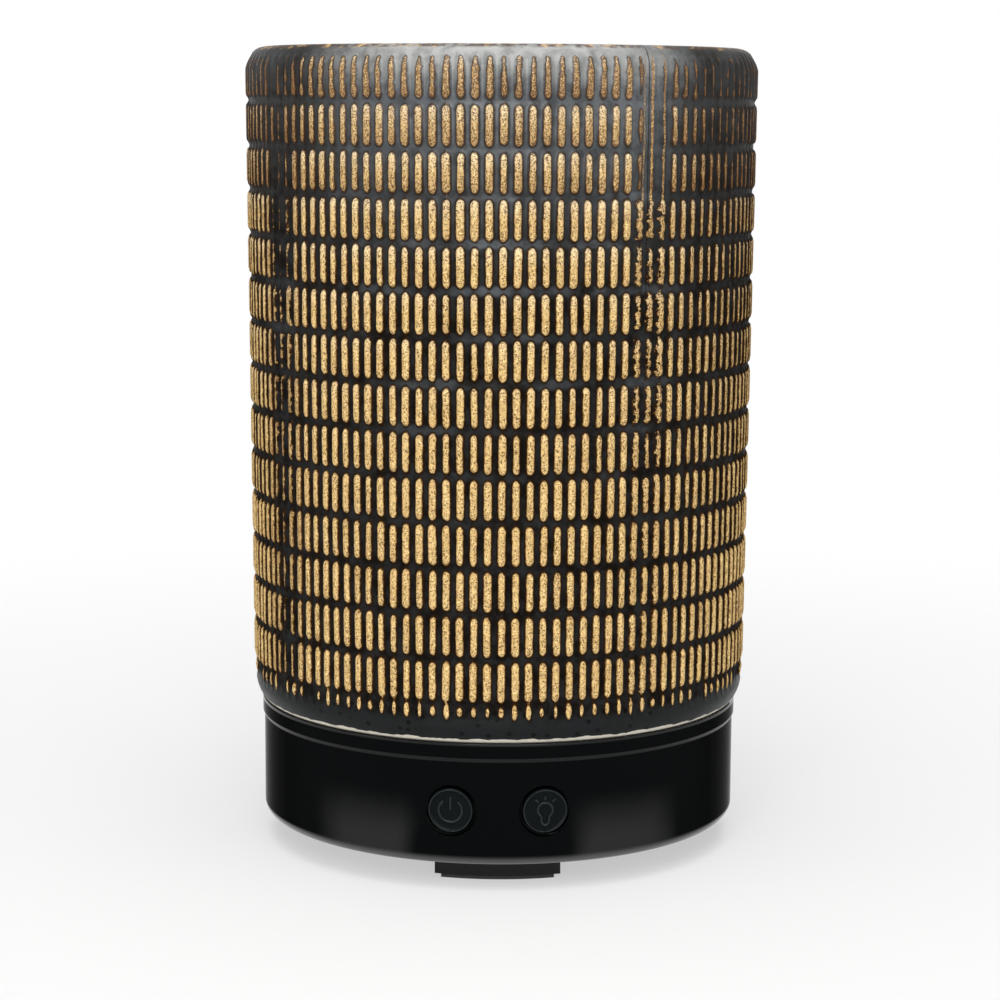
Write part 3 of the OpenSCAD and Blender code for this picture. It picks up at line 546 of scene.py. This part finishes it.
def glaze_material():
    """Dark glaze over ochre clay, driven by the relief's attributes."""
    n = Nodes("shade_glaze")
    u = n.attribute("ridge_u")
    v = n.attribute("ridge_v")
    cover = n.attribute("cover")
    burn = n.attribute("burn")
    # the bare clay runs a little further towards the ends than towards the sides
    ends = n.mul(v, 0.75)
    dist = n.math("SQRT", n.plus(n.mul(u, u), n.mul(ends, ends)))
    fault = n.attribute("fault")
    place = n.where()
    height = place["Z"]
    fine = n.noise(3500, 3, 0.7)
    wobble = n.noise(1500, 2, 0.5)
    blot = n.noise(480, 2, 0.5)
    # edge of the bare crest: drawn in where the glaze covered more
    patchy = n.mul(n.minus(blot, 0.5), n.mul(cover, 2.3))
    limit = n.minus(n.minus(0.78, n.mul(cover, 0.84)), patchy)
    limit = n.plus(limit, n.mul(n.minus(wobble, 0.5), 0.34))
    limit = n.plus(limit, n.mul(n.minus(fine, 0.5), 0.5))
    # along a joint of the clay the crests break up into blotches
    joint = n.one_minus(n.step(n.size(fault), 0.0030, 0.0036))
    low_joint = n.mul(joint, n.step(height, FIRST_GROOVE - 2 * ROW_PITCH, FIRST_GROOVE - 2.2 * ROW_PITCH))
    mottle = n.minus(n.noise(950, 3, 0.7), 0.52)
    upper_joint = n.mul(n.step(height, FIRST_GROOVE - 9 * ROW_PITCH, FIRST_GROOVE - 6 * ROW_PITCH), 1.7)
    limit = n.plus(limit, n.mul(n.mul(low_joint, mottle), n.plus(1.0, upper_joint)))
    inside = n.minus(limit, dist)
    bare = n.step(inside, -0.03, 0.05)
    halo = n.step(inside, -0.44, -0.06)
    # bare clay: straw to ochre, with iron specks
    tone = n.noise(260, 2, 0.6)
    straw = n.mix(n.step(tone, 0.35, 0.68), STRAW_PALE, STRAW_DEEP)
    straw = n.mix(n.step(n.noise(3600, 2, 0.5), 0.42, 0.6), straw, STRAW_SPOT)
    # painted shade: each bare crest turns darker ochre towards its sides, so it looks rounder
    painted_flank_shade = n.step(n.math("DIVIDE", dist, n.most(limit, 0.2)), 0.74, 1.0)
    straw = n.mix(n.mul(painted_flank_shade, 0.75), straw, OCHRE_PAINTED_SHADE)
    straw = n.mix(n.mul(burn, 0.8, clamp=True), straw, OCHRE_BURNT)
    low = n.minus(0.545, n.mul(n.plus(burn, cover), 0.07))
    speck = n.step(fine, low, n.plus(low, 0.05))
    crumbs = n.one_minus(n.step(n.spots(1500), 0.14, 0.27))
    specks = n.most(n.mul(speck, 0.93), n.mul(crumbs, 0.8))
    # bright straw flecks painted on the clay as glints
    painted_glint = n.step(n.noise(3100, 2, 0.6, n.place((1, 1, 0.8))), 0.56, 0.66)
    straw = n.mix(n.mul(painted_glint, n.minus(0.75, n.mul(burn, 0.35))), straw, STRAW_PAINTED_GLINT)
    # a painted pale highlight on the top end of each ridge in the upper rows
    cap_painted_highlight = n.mul(n.attribute("painted_highlight"), n.step(height, TOP_Z - 0.085, TOP_Z - 0.01))
    cap_painted_highlight = n.mul(cap_painted_highlight, n.minus(0.65, n.mul(burn, 0.35)), clamp=True)
    straw = n.mix(cap_painted_highlight, straw, STRAW_PAINTED_HIGHLIGHT)
    clay = n.mix(specks, straw, IRON_SPECK)
    edge_dark = n.one_minus(n.step(inside, 0.0, 0.14))
    clay = n.mix(n.mul(edge_dark, 0.7), clay, CLAY_EDGE)
    # glaze: charcoal in the open, brown-black close to the bare clay
    glaze = n.mix(n.step(n.noise(320, 4, 0.7), 0.36, 0.66), GLAZE_DARK, GLAZE_GREY)
    # a painted blue-grey sheen round the top of the front and in the gaps between the ends of the upper ridges,
    # standing in for reflected light
    front = n.step(n.mul(place["Y"], -1.0), 0.030, 0.0445)
    patch = n.step(n.noise(420, 3, 0.6), 0.3, 0.62)
    cloud = n.plus(n.mul(front, 0.85), n.mul(n.step(n.noise(38, 2), 0.5, 0.75), 0.3))
    cloud = n.mul(cloud, n.plus(0.45, n.mul(patch, 0.6)))
    upper = n.math("POWER", n.step(height, TOP_Z - 0.052, TOP_Z + 0.002), 1.6)
    channel = n.mul(n.step(v, 0.25, 1.1), n.step(height, TOP_Z - 0.095, TOP_Z - 0.03))
    channel = n.mul(channel, n.step(n.noise(75, 3, 0.6), 0.4, 0.66))
    painted_sheen = n.mul(cloud, n.most(upper, n.mul(channel, 0.8)), clamp=True)
    glaze = n.mix(painted_sheen, glaze, GLAZE_PAINTED_SHEEN)
    # a painted whitish highlight across the front of the shoulder
    painted_highlight = n.mul(n.step(height, TOP_Z - 0.0085, TOP_Z - 0.002), n.mul(front, n.plus(0.55, n.mul(patch, 0.45))))
    glaze = n.mix(painted_highlight, glaze, GLAZE_PAINTED_HIGHLIGHT)
    glaze = n.mix(n.mul(halo, 0.94), glaze, GLAZE_HALO)
    # a painted satin sheen, and wet specks, on the plain band under the dots
    band = n.one_minus(n.step(height, CURVE_Z - 0.0016, CURVE_Z + 0.0012))
    band_painted_sheen = n.mul(band, n.plus(0.35, n.mul(n.noise(160, 3, 0.6), 1.1)), clamp=True)
    glaze = n.mix(band_painted_sheen, glaze, GLAZE_PAINTED_BAND_SHEEN)
    wet = n.one_minus(n.step(n.spots(470), 0.18, 0.27))
    wet = n.mul(wet, n.one_minus(n.step(height, CURVE_Z + 0.0005, CURVE_Z + 0.0022)))
    glaze = n.mix(n.mul(wet, 0.9), glaze, GLAZE_WET)
    straight, lines = joint_lines(n, fault, fine, place)
    crease = n.size(n.plus(straight, 0.00075))
    crease = n.mul(n.one_minus(n.step(crease, 0.00006, 0.00018)), joint)
    crease = n.mul(crease, n.step(height, FIRST_GROOVE - 6 * ROW_PITCH, FIRST_GROOVE - 3 * ROW_PITCH))
    glaze = n.mix(n.mul(crease, 0.8), glaze, GLAZE_CREASE)
    glaze = n.mix(lines, glaze, n.mix(specks, LINE_CLAY, LINE_SPECK))
    glaze = n.mix(*top_rim(n, place, glaze))
    # bare cream foot with a scalloped edge
    scallop = n.mul(n.noise(330, 2, 0.5, n.place((1, 1, 0.05))), 0.0012)
    foot_edge = n.plus(SEAT_Z + 0.00025, scallop)
    foot = n.one_minus(n.step(n.minus(height, foot_edge), -0.00008, 0.00008))
    body = n.mix(bare, glaze, clay)
    cream = n.mix(n.noise(900, 3, 0.6), FOOT_CREAM, FOOT_SHADE)
    n.set(Base_Color=n.mix(foot, body, cream))
    rough = n.mix_value(bare, n.plus(0.24, n.mul(n.noise(700, 2), 0.16)), 0.5)
    edge_on = n.add("LayerWeight").outputs["Facing"]
    shine = n.plus(0.025, n.mul(upper, 0.1))
    shine = n.mul(shine, n.one_minus(n.mul(n.step(edge_on, 0.3, 0.75), 0.97)))
    shine = n.plus(shine, n.mul(band, 0.05))
    n.set(Roughness=n.mix_value(foot, rough, 0.8), Specular_IOR_Level=shine)
    n.set(Coat_Weight=n.mul(upper, n.mul(n.plus(0.25, cloud), 0.6), clamp=True))
    n.set(Coat_Roughness=0.24)
    grain = n.mul(n.minus(fine, n.mul(specks, 0.6)), n.plus(0.15, bare))
    crest = n.math("SQRT", n.most(n.one_minus(n.mul(dist, dist)), 0.0))
    relief = n.plus(n.mul(grain, 0.09), n.mul(crest, 0.22))
    n.bump(n.plus(relief, n.mul(blot, 0.06)), 0.001, 0.7)
    return n.mat


shade = build_shade()
shade.data.materials.append(glaze_material())
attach(shade, "shade")
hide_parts("ceramic_shade")


# ---------------------------------------------------------------- plastics, metals and boards
def gloss_black(name):
    n = Nodes(name)
    tint = n.noise(30, 2, 0.4)
    n.set(Base_Color=n.mix(tint, (0.0009, 0.0012, 0.0014, 1), (0.0016, 0.0020, 0.0023, 1)))
    n.set(Roughness=n.plus(0.05, n.mul(n.noise(140, 4, 0.6), 0.05)))
    # a brighter polish along the moulded edges, and two softly buffed patches low on the front
    spot = n.where()
    across = n.plus(n.size(spot["X"]), n.mul(n.noise(60, 2), 0.006))
    low = n.one_minus(n.step(spot["Z"], 0.008, 0.018))
    buffed = n.mul(n.minus(n.step(across, 0.016, 0.021), n.step(across, 0.030, 0.036)), low)
    roll = n.mul(n.step(spot["Z"], 0.0044, 0.0047), n.one_minus(n.step(spot["Z"], 0.0055, 0.0066)))
    feet = n.one_minus(n.step(spot["Z"], 0.0043, 0.0046))
    rims = n.plus(n.mul(roll, 1.0), n.mul(feet, 0.25))
    for at, half in ((PARTING_Z, 0.0003), (SEAT_Z, 0.0004)):
        off = n.size(n.minus(spot["Z"], at))
        line = n.one_minus(n.step(off, half, half + 0.0001))
        rims = n.most(rims, n.mul(line, 0.22))
    edge_on = n.add("LayerWeight").outputs["Facing"]
    fade = n.one_minus(n.mul(n.step(edge_on, 0.12, 0.6), 0.94))
    gloss = n.mul(n.plus(0.035, n.mul(buffed, 0.3)), fade)
    gloss = n.plus(gloss, rims)
    n.set(Specular_IOR_Level=gloss)
    n.bump(n.noise(60, 2), 0.00002, 0.1)
    return n.mat


def simple(name, colour, other, rough, scale=800, metal=0.0, bump=0.00002, level=0.5):
    """A moulded, stamped or printed surface: two close colours, a fine grain and uneven gloss."""
    n = Nodes(name)
    n.set(Base_Color=n.mix(n.noise(scale, 3, 0.6), (*colour, 1), (*other, 1)))
    n.set(Roughness=n.plus(rough - 0.05, n.mul(n.noise(scale * 1.7, 3), 0.12)))
    n.set(Metallic=metal, Specular_IOR_Level=level)
    n.bump(n.noise(scale * 2.5, 3, 0.7), bump, 0.5)
    return n.mat


def gloss_button():
    n = Nodes("button_gloss")
    n.set(Base_Color=n.mix(n.noise(240, 2), (0.0020, 0.0038, 0.0040, 1), (0.0034, 0.0055, 0.0058, 1)))
    n.set(Roughness=n.plus(0.14, n.mul(n.noise(900, 3), 0.08)))
    n.set(Specular_IOR_Level=0.06)
    n.bump(n.noise(300, 2), 0.00001, 0.2)
    return n.mat


def milky(name):
    """Translucent satin plastic."""
    n = Nodes(name)
    n.set(Base_Color=n.mix(n.noise(220, 3, 0.6), (0.82, 0.85, 0.86, 1), (0.75, 0.79, 0.81, 1)))
    n.set(Roughness=n.plus(0.24, n.mul(n.noise(600, 3), 0.14)))
    n.set(Transmission_Weight=0.45, IOR=1.48)
    n.bump(n.noise(900, 3, 0.7), 0.00002, 0.5)
    return n.mat


# colour, second colour, roughness, grain, metal, depth of the grain
SIMPLE = {
    "silicone": ((0.62, 0.62, 0.61), (0.54, 0.54, 0.53), 0.6, 900),
    "pad_rubber": ((0.026, 0.028, 0.026), (0.036, 0.038, 0.036), 0.8, 2600, 0.0, 0.00008),
    "screw_steel": ((0.52, 0.52, 0.54), (0.42, 0.42, 0.43), 0.3, 2200, 1.0),
    "shaft_steel": ((0.62, 0.62, 0.64), (0.56, 0.56, 0.57), 0.2, 3000, 1.0),
    "pin_nickel": ((0.75, 0.74, 0.70), (0.68, 0.67, 0.63), 0.15, 2500, 1.0),
    "brass": ((0.72, 0.52, 0.20), (0.62, 0.43, 0.15), 0.3, 1500, 1.0),
    "clamp_steel": ((0.62, 0.62, 0.63), (0.54, 0.54, 0.55), 0.35, 1600, 1.0),
    "green_board": ((0.012, 0.13, 0.045), (0.02, 0.17, 0.06), 0.35, 1500),
    "white_board": ((0.78, 0.78, 0.75), (0.72, 0.72, 0.69), 0.35, 1200),
    "led_lens": ((0.85, 0.74, 0.32), (0.90, 0.82, 0.45), 0.25, 1800),
    "black_plastic": ((0.015, 0.015, 0.016), (0.024, 0.024, 0.025), 0.45, 1400),
    "copper_winding": ((0.66, 0.28, 0.10), (0.50, 0.18, 0.05), 0.3, 4200, 1.0),
    "capacitor_sleeve": ((0.01, 0.02, 0.09), (0.015, 0.03, 0.12), 0.3, 1200),
    "ferrite": ((0.03, 0.03, 0.03), (0.05, 0.05, 0.05), 0.6, 2600),
    "chip_resin": ((0.016, 0.016, 0.017), (0.026, 0.026, 0.027), 0.55, 3200),
    "connector_nylon": ((0.78, 0.75, 0.66), (0.72, 0.69, 0.60), 0.4, 1300),
    "terminal_tin": ((0.66, 0.65, 0.61), (0.58, 0.57, 0.53), 0.3, 2400, 1.0),
    "wire_sleeve_red": ((0.42, 0.02, 0.015), (0.50, 0.03, 0.02), 0.4, 1600),
    "wire_sleeve_white": ((0.78, 0.78, 0.76), (0.70, 0.70, 0.68), 0.4, 1600),
    "wire_sleeve_blue": ((0.02, 0.06, 0.35), (0.03, 0.08, 0.42), 0.4, 1600),
}
MATERIALS = {
    "black_gloss": gloss_black("black_gloss"),
    "clear_white_plastic": milky("clear_white_plastic"),
}
for name, row in SIMPLE.items():
    MATERIALS[name] = simple(name, *row)

for part in frame["record"]["subparts"]:
    node = frame["nodes"][part["node"]]
    if part["material_slot"] in MATERIALS:
        node.data.materials.clear()
        node.data.materials.append(MATERIALS[part["material_slot"]])
        node.data.polygons.foreach_set("use_smooth", [True] * len(node.data.polygons))


def ease_edges(node, width):
    """Round the sharp edges of a moulded CAD part by a little."""
    weld = node.modifiers.new("weld", "WELD")
    weld.merge_threshold = 2e-6
    flat = node.modifiers.new("flat", "DECIMATE")
    flat.decimate_type = "DISSOLVE"
    flat.angle_limit = math.radians(0.5)
    edge = node.modifiers.new("edges", "BEVEL")
    edge.width = width
    edge.segments = 2
    edge.limit_method = "ANGLE"
    edge.angle_limit = math.radians(32)
    edge.harden_normals = True


def polish(name, width):
    """The moulded CAD part again, with softened edges and true round normals on its wall and bottom edge."""
    node = frame["nodes"][name]
    ease_edges(node, width)
    bpy.context.view_layer.update()
    deps = bpy.context.evaluated_depsgraph_get()
    mesh = bpy.data.meshes.new_from_object(node.evaluated_get(deps), depsgraph=deps)
    mesh.transform(node.matrix_world)
    co = np.empty(len(mesh.vertices) * 3)
    mesh.vertices.foreach_get("co", co)
    corner = np.empty(len(mesh.loops), dtype=np.int32)
    mesh.loops.foreach_get("vertex_index", corner)
    normals = np.empty(len(mesh.loops) * 3)
    mesh.corner_normals.foreach_get("vector", normals)
    normals = normals.reshape(-1, 3)
    face = np.empty(len(mesh.polygons) * 3)
    mesh.polygons.foreach_get("normal", face)
    sizes = np.empty(len(mesh.polygons), dtype=np.int32)
    mesh.polygons.foreach_get("loop_total", sizes)
    face = np.repeat(face.reshape(-1, 3), sizes, axis=0)
    p = co.reshape(-1, 3)[corner]
    r = np.hypot(p[:, 0], p[:, 1])
    out = np.stack([p[:, 0] / np.maximum(r, 1e-9), p[:, 1] / np.maximum(r, 1e-9), np.zeros(len(r))], 1)
    wall = (np.minimum(abs(r - BASE_R), abs(r - DECK_R)) < 0.06 * MM) & ((out * face).sum(1) > 0.98)
    normals[wall] = out[wall]
    # the rolled bottom edge
    d = np.stack([r - (BASE_R - ROLL_R), p[:, 2] - (BOTTOM_Z + ROLL_R)], 1)
    away = np.linalg.norm(d, axis=1)
    roll = out * (d[:, :1] / np.maximum(away[:, None], 1e-9))
    roll[:, 2] = d[:, 1] / np.maximum(away, 1e-9)
    edge = (abs(away - ROLL_R) < 0.06 * MM) & (d[:, 1] < 0) & (d[:, 0] > 0) & ((roll * face).sum(1) > 0.93)
    normals[edge] = roll[edge]
    mesh.polygons.foreach_set("use_smooth", [True] * len(mesh.polygons))
    mesh.normals_split_custom_set(normals.tolist())
    obj = bpy.data.objects.new(name + "_moulding", mesh)
    bpy.context.scene.collection.objects.link(obj)
    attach(obj, "base")
    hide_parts(name)


polish("top_deck", 0.3 * MM)
polish("lower_housing", 0.22 * MM)


# ---------------------------------------------------------------- push buttons with raised signs
FLANGE_R = BUTTON_R + 0.0013
FLANGE_FRONT_Y = -0.0409
FLANGE_BACK_Y = -0.0399
FACE_RINGS = ((0.0, -0.24), (0.9, -0.24), (1.8, -0.24), (2.6, -0.24), (3.3, -0.24), (3.48, -0.2),
              (3.62, -0.1), (3.74, -0.07), (3.86, -0.12), (3.96, -0.24), (4.02, -0.42))


def on_front(x, z, out):
    """A point on the base's curved front, moved outwards by a distance."""
    return (x, -math.sqrt((BASE_R + out) ** 2 - x * x), z)


def stroke(bm, cx, path, width, height, floor_out):
    """A raised rounded line along a path of (across, up) points in mm."""
    pts = [np.array(p, float) * MM for p in path]
    rings = []
    for i, p in enumerate(pts):
        d = pts[min(i + 1, len(pts) - 1)] - pts[max(i - 1, 0)]
        side = np.array([-d[1], d[0]]) / np.linalg.norm(d)
        ring = []
        for across, up in ((-0.5, -0.3), (-0.42, 0.5), (-0.2, 0.92), (0.2, 0.92), (0.42, 0.5), (0.5, -0.3)):
            q = p + side * across * width
            ring.append(bm.verts.new(on_front(cx + q[0], BUTTON_Z + q[1], floor_out + up * height)))
        rings.append(ring)
    for a, b in zip(rings, rings[1:]):
        for j in range(6):
            k = (j + 1) % 6
            bm.faces.new((a[j], a[k], b[k], b[j]))
    bm.faces.new(rings[0][::-1])
    bm.faces.new(rings[-1])


def arc(radius, start, end, steps, cx=0.0, cy=0.0):
    """Points on an arc, in degrees clockwise from straight up."""
    angles = np.radians(np.linspace(start, end, steps))
    return [(cx + radius * math.sin(a), cy + radius * math.cos(a)) for a in angles]


SIGNS = {
    "power_button": [arc(2.05, 38, 322, 40), [(0, 0.1), (0, 1.2), (0, 2.5)]],
    "light_button": [arc(1.3, 148, -148, 30, 0, 0.15),
                     [(0.66, -0.95), (0.72, -1.6), (0.55, -2.25), (0.2, -2.5), (-0.2, -2.5), (-0.55, -2.25),
                      (-0.72, -1.6), (-0.66, -0.95)],
                     [(0, 1.95), (0, 2.65)], [(1.25, 1.6), (1.75, 2.1)], [(-1.25, 1.6), (-1.75, 2.1)]],
}


def build_button(name, side):
    """A domed button cap with its flange and raised sign, left (-1) or right (1) of the middle."""
    bm = bmesh.new()
    cx = side * BUTTON_X
    steps = 72
    turns = np.arange(steps) * 2 * math.pi / steps
    rings = []
    for radius, out in FACE_RINGS[1:]:
        rings.append([bm.verts.new(on_front(cx + radius * MM * math.sin(a),
                                            BUTTON_Z + radius * MM * math.cos(a), out * MM))
                      for a in turns])
    for radius, y in ((BUTTON_R, FLANGE_FRONT_Y), (FLANGE_R, FLANGE_FRONT_Y), (FLANGE_R, FLANGE_BACK_Y)):
        rings.append([bm.verts.new((cx + radius * math.sin(a), y, BUTTON_Z + radius * math.cos(a)))
                      for a in turns])
    middle = bm.verts.new(on_front(cx, BUTTON_Z, FACE_RINGS[0][1] * MM))
    for j in range(steps):
        k = (j + 1) % steps
        bm.faces.new((middle, rings[0][j], rings[0][k]))
        for a, b in zip(rings, rings[1:]):
            bm.faces.new((a[j], b[j], b[k], a[k]))
    bm.faces.new(rings[-1])
    plain = len(bm.faces)
    for path in SIGNS[name]:
        stroke(bm, cx, path, 0.46 * MM, 0.26 * MM, -0.24 * MM)
    # a thin raised ring near the cap's edge in the lighter sign grey: a painted highlight round the rim
    stroke(bm, cx, arc(3.72, -178, 178, 72), 0.26 * MM, 0.16 * MM, -0.14 * MM)
    for face in list(bm.faces)[plain:]:
        face.material_index = 1
    bmesh.ops.recalc_face_normals(bm, faces=bm.faces)
    mesh = bpy.data.meshes.new(name + "_cap")
    bm.to_mesh(mesh)
    bm.free()
    mesh.polygons.foreach_set("use_smooth", [True] * len(mesh.polygons))
    mesh.set_sharp_from_angle(angle=math.radians(50))
    mesh.materials.append(MATERIALS["button_gloss"])
    mesh.materials.append(MATERIALS["button_sign"])
    obj = bpy.data.objects.new(name + "_cap", mesh)
    bpy.context.scene.collection.objects.link(obj)
    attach(obj, name)
    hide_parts(name)


MATERIALS["button_gloss"] = gloss_button()
# a lighter grey on the raised signs and the rim ring: partly the signs' own tone, partly painted highlight
MATERIALS["button_sign"] = simple("button_sign", (0.009, 0.0125, 0.0135), (0.012, 0.016, 0.017), 0.3, 900,
                                  level=0.2)
build_button("power_button", -1)
build_button("light_button", 1)

# ---------------------------------------------------------------- camera
CAMERA_ACROSS = 0.0001
CAMERA_BACK = 0.5023
CAMERA_UP = 0.1376
CAMERA_PITCH = 8.44
CAMERA_ROLL = 0.3
CAMERA_LENS = 97.08
camera_data = bpy.data.cameras.new("camera")
camera_data.lens = CAMERA_LENS
camera_data.sensor_width = 36
camera_data.clip_start = 0.05
camera_data.clip_end = 20
camera = bpy.data.objects.new("camera", camera_data)
bpy.context.scene.collection.objects.link(camera)
camera.matrix_world = (Matrix.Translation((CAMERA_ACROSS, -CAMERA_BACK, CAMERA_UP))
                       @ Matrix.Rotation(math.radians(90 - CAMERA_PITCH), 4, "X")
                       @ Matrix.Rotation(math.radians(CAMERA_ROLL), 4, "Z"))
bpy.context.scene.camera = camera


# ---------------------------------------------------------------- floor, backdrop and lights
def background_rays(tree):
    """1 for camera, glossy and transmission rays, 0 for the rays that light the object."""
    rays = tree.nodes.new("ShaderNodeLightPath")
    seen = rays.outputs["Is Camera Ray"]
    for kind in ("Is Glossy Ray", "Is Transmission Ray"):
        either = tree.nodes.new("ShaderNodeMath")
        either.operation = "MAXIMUM"
        tree.links.new(seen, either.inputs[0])
        tree.links.new(rays.outputs[kind], either.inputs[1])
        seen = either.outputs[0]
    return seen


def make_floor():
    """Pale floor that bends up into a backdrop; it fades to white away from the object and keeps its shadow."""
    size, back, rise, bend = 3.0, 1.0, 1.6, 0.5
    rows = [(-size, 0.0), (back, 0.0)]
    rows += [(back + bend * math.sin(a), bend * (1 - math.cos(a))) for a in np.linspace(0.1, math.pi / 2, 12)]
    rows.append((back + bend, rise))
    verts = [(x, y, z) for y, z in rows for x in (-size, size)]
    faces = [(2 * i, 2 * i + 1, 2 * i + 3, 2 * i + 2) for i in range(len(rows) - 1)]
    mesh = bpy.data.meshes.new("floor")
    mesh.from_pydata(verts, [], faces)
    mesh.polygons.foreach_set("use_smooth", [True] * len(faces))
    floor = bpy.data.objects.new("floor", mesh)
    bpy.context.scene.collection.objects.link(floor)
    n = Nodes("floor")
    n.set(Base_Color=n.mix(n.noise(2.0, 2), grey(0.82), grey(0.80)), Roughness=0.9, Specular_IOR_Level=0.1)
    place = n.add("TexCoord")
    length = n.add("VectorMath", operation="LENGTH")
    n.tree.links.new(place.outputs["Object"], length.inputs[0])
    far = n.step(length.outputs["Value"], 0.05, 0.36)
    seen = background_rays(n.tree)
    white = n.add("Emission")
    white.inputs[0].default_value = grey(1.0)
    blend = n.add("MixShader")
    n.put(blend.inputs[0], n.mul(n.plus(0.5, n.mul(far, 0.5)), seen))
    n.tree.links.new(n.bsdf.outputs[0], blend.inputs[1])
    n.tree.links.new(white.outputs[0], blend.inputs[2])
    n.tree.links.new(blend.outputs[0], n.tree.nodes["Material Output"].inputs[0])
    mesh.materials.append(n.mat)
    return floor


floor = make_floor()

WORLD_FILL = 0.16


def make_world():
    """Soft fill on the object, and plain white where the camera looks past the floor."""
    world = bpy.data.worlds.new("studio")
    bpy.context.scene.world = world
    world.use_nodes = True
    tree = world.node_tree
    background = tree.nodes["Background"]
    background.inputs["Color"].default_value = grey(1.0)
    level = tree.nodes.new("ShaderNodeMapRange")
    level.inputs["To Min"].default_value = WORLD_FILL
    level.inputs["To Max"].default_value = 1.0
    tree.links.new(background_rays(tree), level.inputs["Value"])
    tree.links.new(level.outputs["Result"], background.inputs["Strength"])


make_world()


def area_light(name, place, aim, width, height, power):
    data = bpy.data.lights.new(name, "AREA")
    data.shape = "RECTANGLE"
    data.size, data.size_y = width, height
    data.energy = power
    lamp = bpy.data.objects.new(name, data)
    bpy.context.scene.collection.objects.link(lamp)
    lamp.location = place
    lamp.rotation_mode = "QUATERNION"
    lamp.rotation_quaternion = (Vector(aim) - Vector(place)).to_track_quat("-Z", "Y")
    return lamp


# name, place, aim, width, height, power
LIGHTS = (
    ("front_softbox", (-0.12, -1.2, 0.5), (0, 0, 0.10), 0.8, 0.95, 9.5),
    ("top_softbox", (0, -0.2, 0.9), (0, 0, 0.08), 0.8, 1.2, 8.5),
    ("left_softbox", (-0.95, -0.35, 0.3), (0, 0, 0.07), 0.4, 0.6, 0.9),
    ("right_softbox", (0.95, -0.35, 0.3), (0, 0, 0.07), 0.4, 0.6, 0.9),
)
for light in LIGHTS:
    area_light(*light)

bpy.context.scene.view_settings.view_transform = "Standard"
